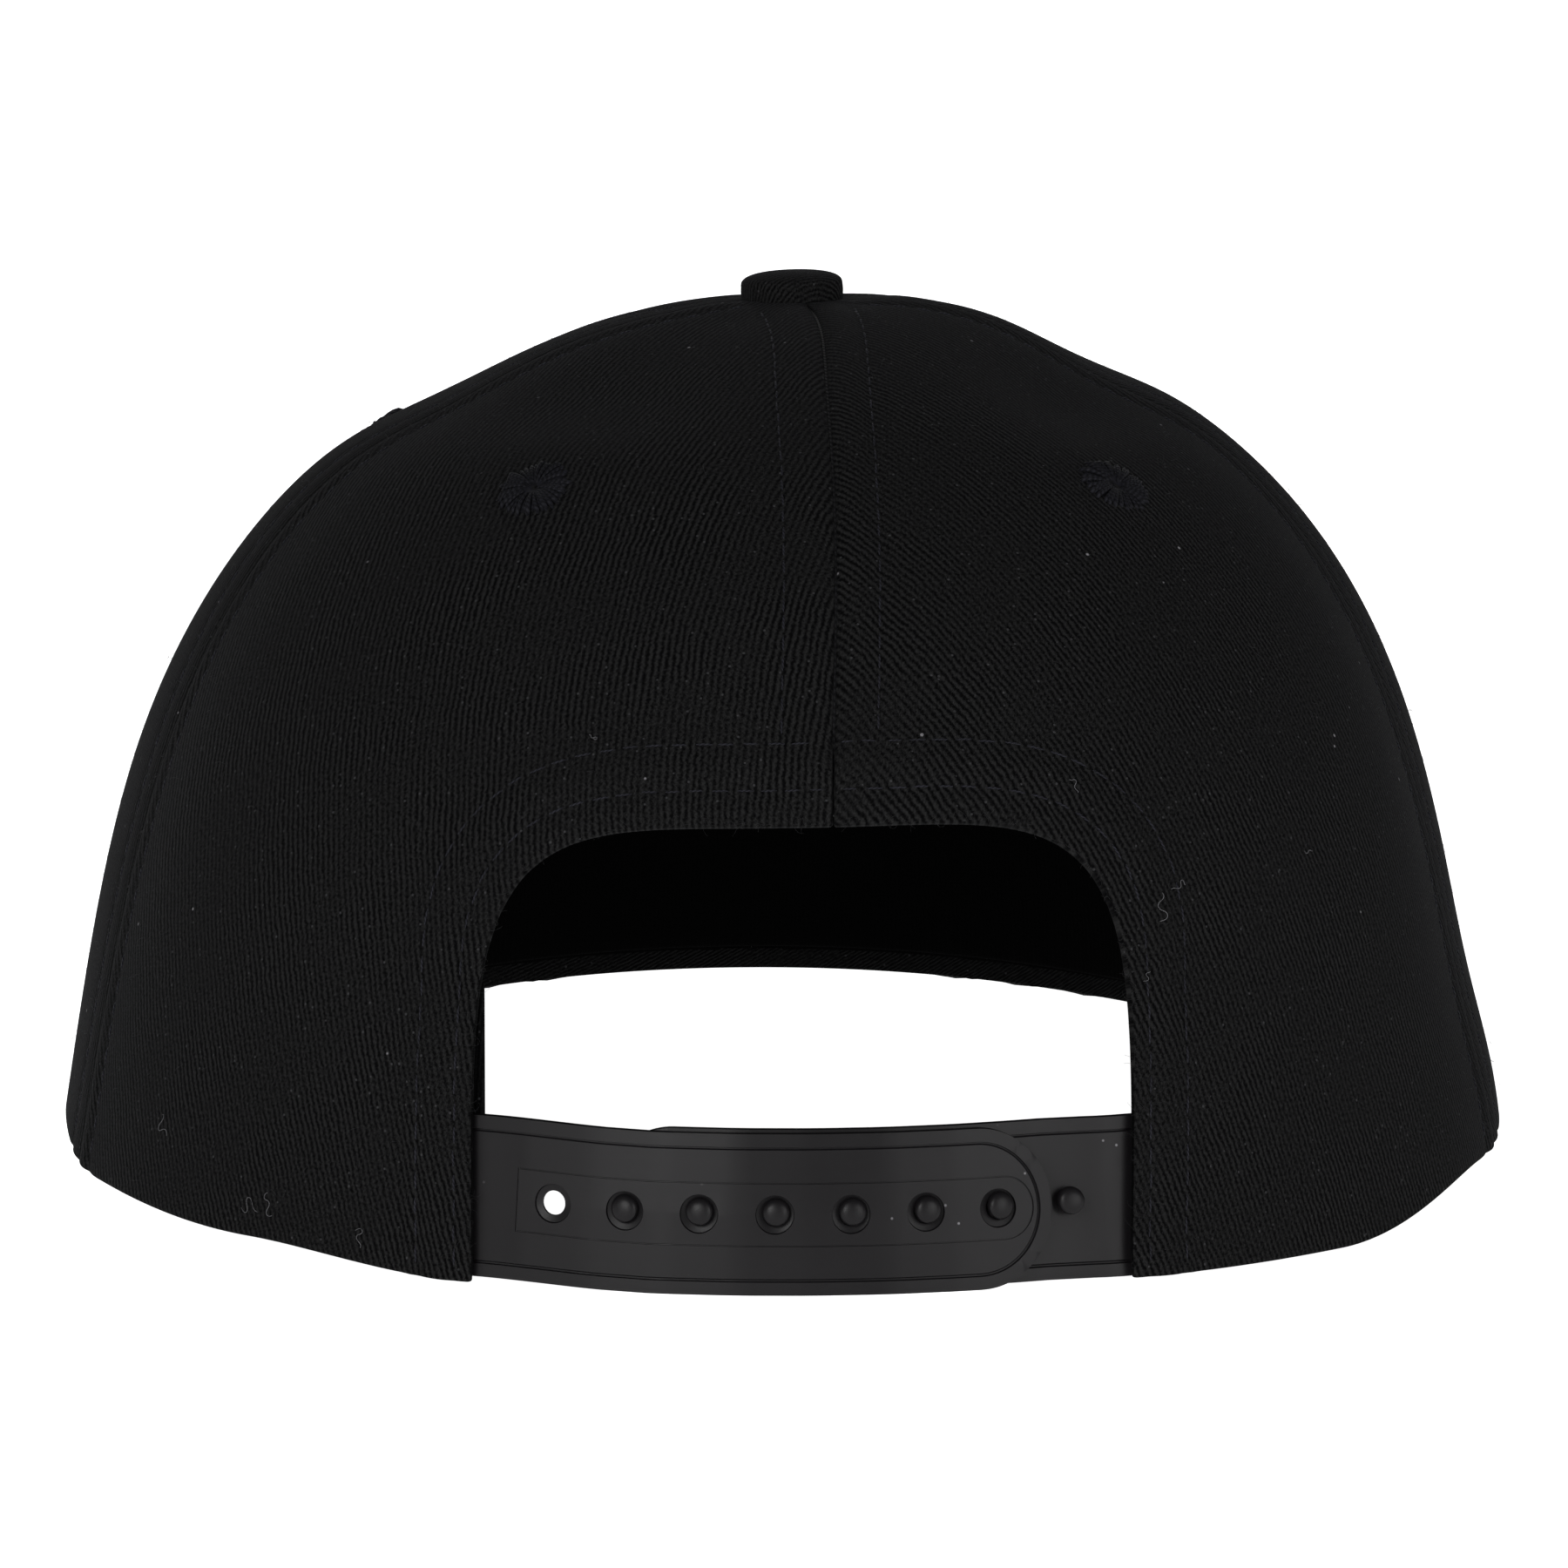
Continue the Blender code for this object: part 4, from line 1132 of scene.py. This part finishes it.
BAND_HEIGHT, BAND_LIFT, BAND_THICKNESS = 0.034, 0.0006, 0.0012
BAND_LEFT, BAND_RIGHT, BAND_BY_STRAP, BAND_DEPTH = 0.0381, -0.0430, 0.0036, 0.0019


def level_cloth(angle, z, depth, bulge):
    foot = hem_height(angle)
    height = (z - foot) / (CROWN_HEIGHT - foot)
    out = facing(angle, height)
    out[..., 2] = 0.0
    out /= np.linalg.norm(out, axis=-1, keepdims=True)
    return shell(angle, height) + out * (bulge(angle, height) - depth)[..., None]


def any_lift(angle, height):
    angle = (angle + 2.5) % 360.0 - 2.5
    out = np.zeros(np.broadcast(angle, height).shape)
    for number in range(6):
        first, last = seam_angle(number, height), seam_angle(number + 1, height)
        out = np.where((angle >= first) & (angle <= last), lift(number, angle, height), out)
    return out


def band_depth(angle):
    away = np.abs((angle + 180.0) % 360.0 - 180.0)
    return BAND_BY_STRAP + (BAND_DEPTH - BAND_BY_STRAP) * ease((away - 39.0) / 10.0)


def band_end(x, z):
    low, high = 0.0, 60.0
    for _ in range(24):
        middle = (low + high) / 2.0
        turn = np.array(math.copysign(middle, x))
        at = level_cloth(turn, np.array(z), BAND_BY_STRAP, any_lift)[0]
        low, high = (middle, high) if abs(at) < abs(x) else (low, middle)
    return math.copysign(low, x)


def band_strip():
    columns, rows = 300, 16
    rise = BAND_LIFT + BAND_HEIGHT * np.linspace(0.0, 1.0, rows + 1)
    first = np.array([band_end(BAND_LEFT, r) for r in rise])[:, None]
    last = np.array([360.0 + band_end(BAND_RIGHT, r) for r in rise])[:, None]
    angle = first + (last - first) * np.linspace(0.0, 1.0, columns + 1)[None, :]
    z = hem_height(angle) + rise[:, None]
    spots = level_cloth(angle, z, band_depth(angle), any_lift) + MIDDLE
    flat = np.stack((np.radians(angle) * 0.093, rise[:, None] + 0.0 * angle), -1)
    band = laid_grid("sweatband_cloth", spots, flat)
    outward(band, Vector((0.0, 0.03, 0.02)))
    give(band, "SOLIDIFY", thickness=BAND_THICKNESS, offset=-1.0)
    rolled_edges(band, CLOTH_EDGE, 3)
    mark_inner(band, (0.0, 0.03, 0.02))
    return band


# The sweatband's light tone is set well below the crown's: painted shade, as the band stands in the
# shadow inside the crown.
shaded_band_twill = cotton_twill("sweatband_twill", 0.0, 0.0006, light=(0.0050, 0.0050, 0.0052))
band = finish_piece(band_strip(), shaded_band_twill, "sweatband_cloth", "sweatband")


# The snap strap: two strips of soft black plastic, moulded with a raised rim. The outer one has
# seven stepped holes inside a fine sunk line, and the inner one seven domed pegs. Six are pressed
# home, the first hole is empty and the last peg stands free.

STRAP_HALF, STRAP_THICKNESS, STRAP_DEPTH, STRAP_GAP = 0.0095, 0.0012, 0.0019, 0.0003
STRAP_ROOT, HOLES_END, PEGS_END = 0.046, -0.0307, 0.0256
PEGS_TURN, PEGS_LIFT = -0.0310, 0.0003
RIM_STEPS = ((0.00155, 0.0), (0.00008, -0.00040), (0.00016, 0.0), (0.00014, 0.00022))
HOLE_RUNS = [0.0308 - 0.00908 * k for k in range(7)]
PEG_RUNS = [-0.0332 + 0.00916 * k for k in range(7)]
CUT_LINES = sorted(
    [run + step for run in HOLE_RUNS + PEG_RUNS[:1] for step in (-0.0045, -0.0028, 0.0028)]
    + [HOLE_RUNS[0] + 0.0045 + 0.0020 * k for k in range(6)]
    + [PEG_RUNS[0] - 0.0045 - 0.0020 * k for k in range(4)]
)


def strap_bulge(angle, height):
    share = np.minimum(np.abs(angle) / 26.0, 1.0)
    return swell(height) + 0.0034 * (1.0 - share * share) ** 2


def faced_out():
    """In edit mode, turn all of the piece's faces outwards and leave."""
    select_every()
    bpy.ops.mesh.normals_make_consistent(inside=False)
    in_edit_mode(False)


def bent_to_crown(piece, depth_at, foot):
    """Lay a flat moulding, X its run and Y its height and Z its face, along the crown's back."""
    marks = np.arange(-45.0, 45.1, 0.5)
    line = level_cloth(marks, np.full(len(marks), STRAP_HALF), np.array(STRAP_DEPTH), strap_bulge)
    run = run_along(line)
    run -= run[len(run) // 2]
    co = np.array([v.co for v in piece.data.vertices], float)
    angle = np.interp(co[:, 0], run, marks)
    foot = foot + 0.0008 * ease((co[:, 0] - 0.018) / 0.024)
    spots = level_cloth(angle, co[:, 1] + STRAP_HALF + foot, depth_at(co[:, 0]) - co[:, 2], strap_bulge)
    piece.data.vertices.foreach_set("co", (spots + MIDDLE).astype(np.float32).ravel())
    piece.data.update()
    use(piece)
    in_edit_mode()
    faced_out()
    bpy.ops.object.shade_smooth_by_angle(angle=math.radians(32.0))
    give(piece, "WEIGHTED_NORMAL", keep_sharp=True, weight=90)


def racetrack(name, root, end, half, low, high):
    """A slab with one rounded end, from half a disc drawn out to its root."""
    toward = math.copysign(1.0, root - end)
    middle = end + toward * half
    bpy.ops.mesh.primitive_circle_add(
        vertices=96, radius=half, fill_type="NGON", location=(middle, 0.0, low)
    )
    slab = mesh_piece(name)
    bpy.ops.object.transform_apply()
    in_edit_mode()
    bpy.ops.mesh.select_mode(type="VERT")
    select_every("DESELECT")
    mesh = bmesh.from_edit_mesh(slab.data)
    for v in mesh.verts:
        v.select = (v.co.x - middle) * toward > 1e-6
    mesh.select_flush(True)
    bmesh.update_edit_mesh(slab.data)
    bpy.ops.transform.resize(value=(0.0, 1.0, 1.0), center_override=(middle, 0.0, low))
    bpy.ops.transform.translate(value=(root - middle, 0.0, 0.0))
    select_every()
    bpy.ops.mesh.extrude_region_move(TRANSFORM_OT_translate={"value": (0.0, 0.0, high - low)})
    return slab


def rimmed_strap(name, root, end):
    strap = racetrack(name, root, end, STRAP_HALF, -STRAP_THICKNESS, 0.0)
    for inset, depth in RIM_STEPS:
        bpy.ops.mesh.inset(thickness=inset, depth=depth)
    faced_out()
    return strap


def combine(piece, tool, operation):
    """Cut or add one closed form and drop it."""
    give(piece, "BOOLEAN", operation=operation, solver="EXACT", object=tool)
    bpy.data.objects.remove(tool, do_unlink=True)


def turned(name, x, rings, sides=40):
    """A round form built up from a disc, ring by ring: (radius, height) pairs."""
    bpy.ops.mesh.primitive_circle_add(
        vertices=sides, radius=rings[0][0], fill_type="NGON", location=(x, 0.0, rings[0][1])
    )
    form = mesh_piece(name)
    bpy.ops.object.transform_apply()
    in_edit_mode()
    select_every()
    for (r, z), (wide, high) in zip(rings, rings[1:]):
        bpy.ops.mesh.extrude_region_move(TRANSFORM_OT_translate={"value": (0.0, 0.0, high - z)})
        grow = wide / r
        bpy.ops.transform.resize(value=(grow, grow, 1.0), center_override=(x, 0.0, high))
    faced_out()
    return form


def softened_and_cut(piece, width):
    """Break the sharp edges and divide the strip across, so that it can bend."""
    give(piece, "BEVEL", width=width, segments=2, limit_method="ANGLE", angle_limit=math.radians(38.0))
    use(piece)
    in_edit_mode()
    for at in CUT_LINES:
        select_every()
        bpy.ops.mesh.bisect(plane_co=(at, 0.0, 0.0), plane_no=(1.0, 0.0, 0.0))
    in_edit_mode(False)


def moulded_plastic():
    """Soft black plastic: satin, faintly clouded from the mould, with fine scuffs and dust."""
    made = Finish("strap_plastic_finish")
    space = made.place()
    clouds = made.noise(space, 60.0, 3.0, 0.6)
    grain = made.noise(space, 3400.0, 3.0, 0.65)
    drawn = made.node("ShaderNodeMapping", {}, {"Vector": space, "Scale": (14.0, 14.0, 900.0)})
    streaks = made.noise(drawn, 1.0, 2.0)
    tone = clouds * 0.6 + streaks * 0.25 + grain * 0.15
    colour = made.mix(tone, (0.0034, 0.0031, 0.0035), (0.0062, 0.0056, 0.0063))
    dust = made.specks(space, 620.0, 0.13, 0.070)
    colour = made.mix(dust * 0.7, colour, (0.17, 0.165, 0.175))
    return made.surface(
        Base_Color=colour,
        Roughness=0.30 + clouds * 0.10 + grain * 0.08,
        Normal=made.bump(grain * 0.6 + streaks * 0.4, 0.000018, 0.6),
        Specular_IOR_Level=0.13,
    )


plastic = moulded_plastic()
holes = rimmed_strap("strap_with_holes", STRAP_ROOT, HOLES_END)
line_tool = racetrack("line_tool", 0.0355, -0.0283, 0.00378, -0.00038, 0.0004)
faced_out()
core_tool = racetrack("core_tool", 0.03532, -0.02812, 0.00360, -0.0010, 0.0010)
faced_out()
combine(line_tool, core_tool, "DIFFERENCE")
combine(holes, line_tool, "DIFFERENCE")
for run in HOLE_RUNS:
    step = turned("hole_tool", run, (
        (0.00145, -0.0016), (0.00145, -0.00070), (0.00225, -0.00064), (0.00232, -0.00016),
        (0.00250, 0.00006), (0.00250, 0.0004),
    ))
    combine(holes, step, "DIFFERENCE")
softened_and_cut(holes, 0.00009)
bent_to_crown(holes, lambda run: np.full(len(run), STRAP_DEPTH), 0.0)
finish_piece(holes, plastic, "strap_plastic", "snap_strap_holes")


def peg_depth(run):
    """The inner strip passes behind the outer one, then comes forward to its root."""
    behind = STRAP_DEPTH + STRAP_THICKNESS + STRAP_GAP
    return behind + (STRAP_DEPTH - behind) * ease((PEGS_TURN - run) / 0.0090)


pegs = rimmed_strap("strap_with_pegs", -STRAP_ROOT, PEGS_END)
top = STRAP_GAP + STRAP_THICKNESS + 0.0006
seat = top - 0.0014
for run in PEG_RUNS:
    peg = turned("peg_tool", run, (
        (0.00115, -0.0006), (0.00115, seat), (0.00158, seat + 0.00006), (0.00165, seat + 0.00030),
        (0.00163, seat + 0.00070), (0.00150, seat + 0.00100), (0.00126, seat + 0.00119),
        (0.00092, seat + 0.00131), (0.00050, seat + 0.00138), (0.00016, top),
    ))
    combine(pegs, peg, "UNION")
softened_and_cut(pegs, 0.00007)
bent_to_crown(pegs, peg_depth, PEGS_LIFT)
finish_piece(pegs, plastic, "strap_plastic", "snap_strap_pegs")


# Loose fibres: black cotton always holds some. Fine fuzz stands off the turned edge of the opening,
# the seams and the outline of the crown, and a few pale curls of lint lie on the cloth.

FACE_HAIRS, EDGE_HAIRS = 420, 120
LINT = (
    dict(x=0.0770, z=0.0150, length=0.0050), dict(x=0.0672, z=0.0062, length=0.0060),
    dict(x=0.0640, z=0.0085, length=0.0045), dict(x=0.0528, z=0.0034, length=0.0040),
    dict(x=-0.0424, z=0.0410, length=0.0052), dict(x=-0.0440, z=0.0445, length=0.0030),
    dict(x=-0.0330, z=0.0560, length=0.0026), dict(x=-0.0405, z=0.0345, length=0.0022),
    dict(x=0.0250, z=0.0640, length=0.0024), dict(x=-0.0610, z=0.0470, length=0.0016),
)


def curl(chance, length, radius, rise, sides=3, points=8, bend=1.0):
    """One loose fibre, bending as it goes and rising off the cloth."""
    share = np.linspace(0.0, 1.0, points)
    heading = chance.normal(0.0, 1.3) * share * bend + chance.normal(0.0, 1.5) * share ** 2
    heading = heading + (bend - 1.0) * np.sin(share * 9.0 + chance.uniform(0.0, 6.0))
    x = np.concatenate(([0.0], np.cumsum(np.cos(heading[1:])))) * length / (points - 1)
    y = np.concatenate(([0.0], np.cumsum(np.sin(heading[1:])))) * length / (points - 1)
    z = rise * np.sin(np.pi * share * chance.uniform(0.5, 0.9))
    return curved_thread(np.stack((x, y, z), -1), np.full(points, radius), sides)


def strewn(chance, number, angle, height, fibre):
    """The same kind of fibre at each angle and height, turned every way."""
    spots = skin(number, angle, height)
    outs = facing(angle, height)
    parts = []
    for spot, out in zip(spots, outs):
        turn = Vector(out).to_track_quat("Z", "Y").to_matrix().to_4x4()
        turn = turn @ Matrix.Rotation(chance.uniform(0.0, 2.0 * math.pi), 4, "Z")
        turn = np.array(Matrix.Translation(Vector(spot)) @ turn)
        co, faces, uv = fibre()
        parts.append((co @ turn[:3, :3].T + turn[:3, 3], faces, uv))
    return parts


def hair():
    return curl(chance, chance.uniform(0.0006, 0.0021), 0.000016, chance.uniform(0.00015, 0.0008))


fuzz_thread = sewing_thread(
    "fuzz_thread", (0.0060, 0.0060, 0.0066), (0.0420, 0.0415, 0.0440)
)
lint_thread = sewing_thread("lint_thread", (0.06, 0.06, 0.065), (0.24, 0.235, 0.25))
for number, row in enumerate(PANELS):
    height = chance.uniform(0.02, 0.985, FACE_HAIRS)
    share = chance.uniform(0.01, 0.99, FACE_HAIRS)
    first, last = seam_angle(number, height), seam_angle(number + 1, height)
    angle, height = clear_of_arch(number, first + (last - first) * share, height, 0.0010)
    parts = strewn(chance, number, angle, height, hair)
    if number in (0, 5):
        at = np.sort(chance.choice(len(ARCH[number][0]) - 8, EDGE_HAIRS, replace=False)) + 4
        edge_angle = ARCH[number][0][at] + FULL_TURN[number]
        parts += strewn(chance, number, edge_angle, ARCH[number][1][at] + 0.0015, hair)
    finish_piece(gathered(row["name"] + "_fuzz", parts), fuzz_thread, "eyelet_thread")
for side, number in ((1.0, 0), (-1.0, 5)):
    rows = [row for row in LINT if row["x"] * side > 0.0]
    angle, height = on_back(number, np.array([r["x"] for r in rows]), np.array([r["z"] for r in rows]))
    lengths = iter([row["length"] for row in rows])
    parts = strewn(
        chance, number, angle + FULL_TURN[number], height,
        lambda: curl(chance, next(lengths), 0.000030, 0.0006, 5, 22, 2.2),
    )
    finish_piece(gathered(PANELS[number]["name"] + "_lint", parts), lint_thread, "eyelet_thread")
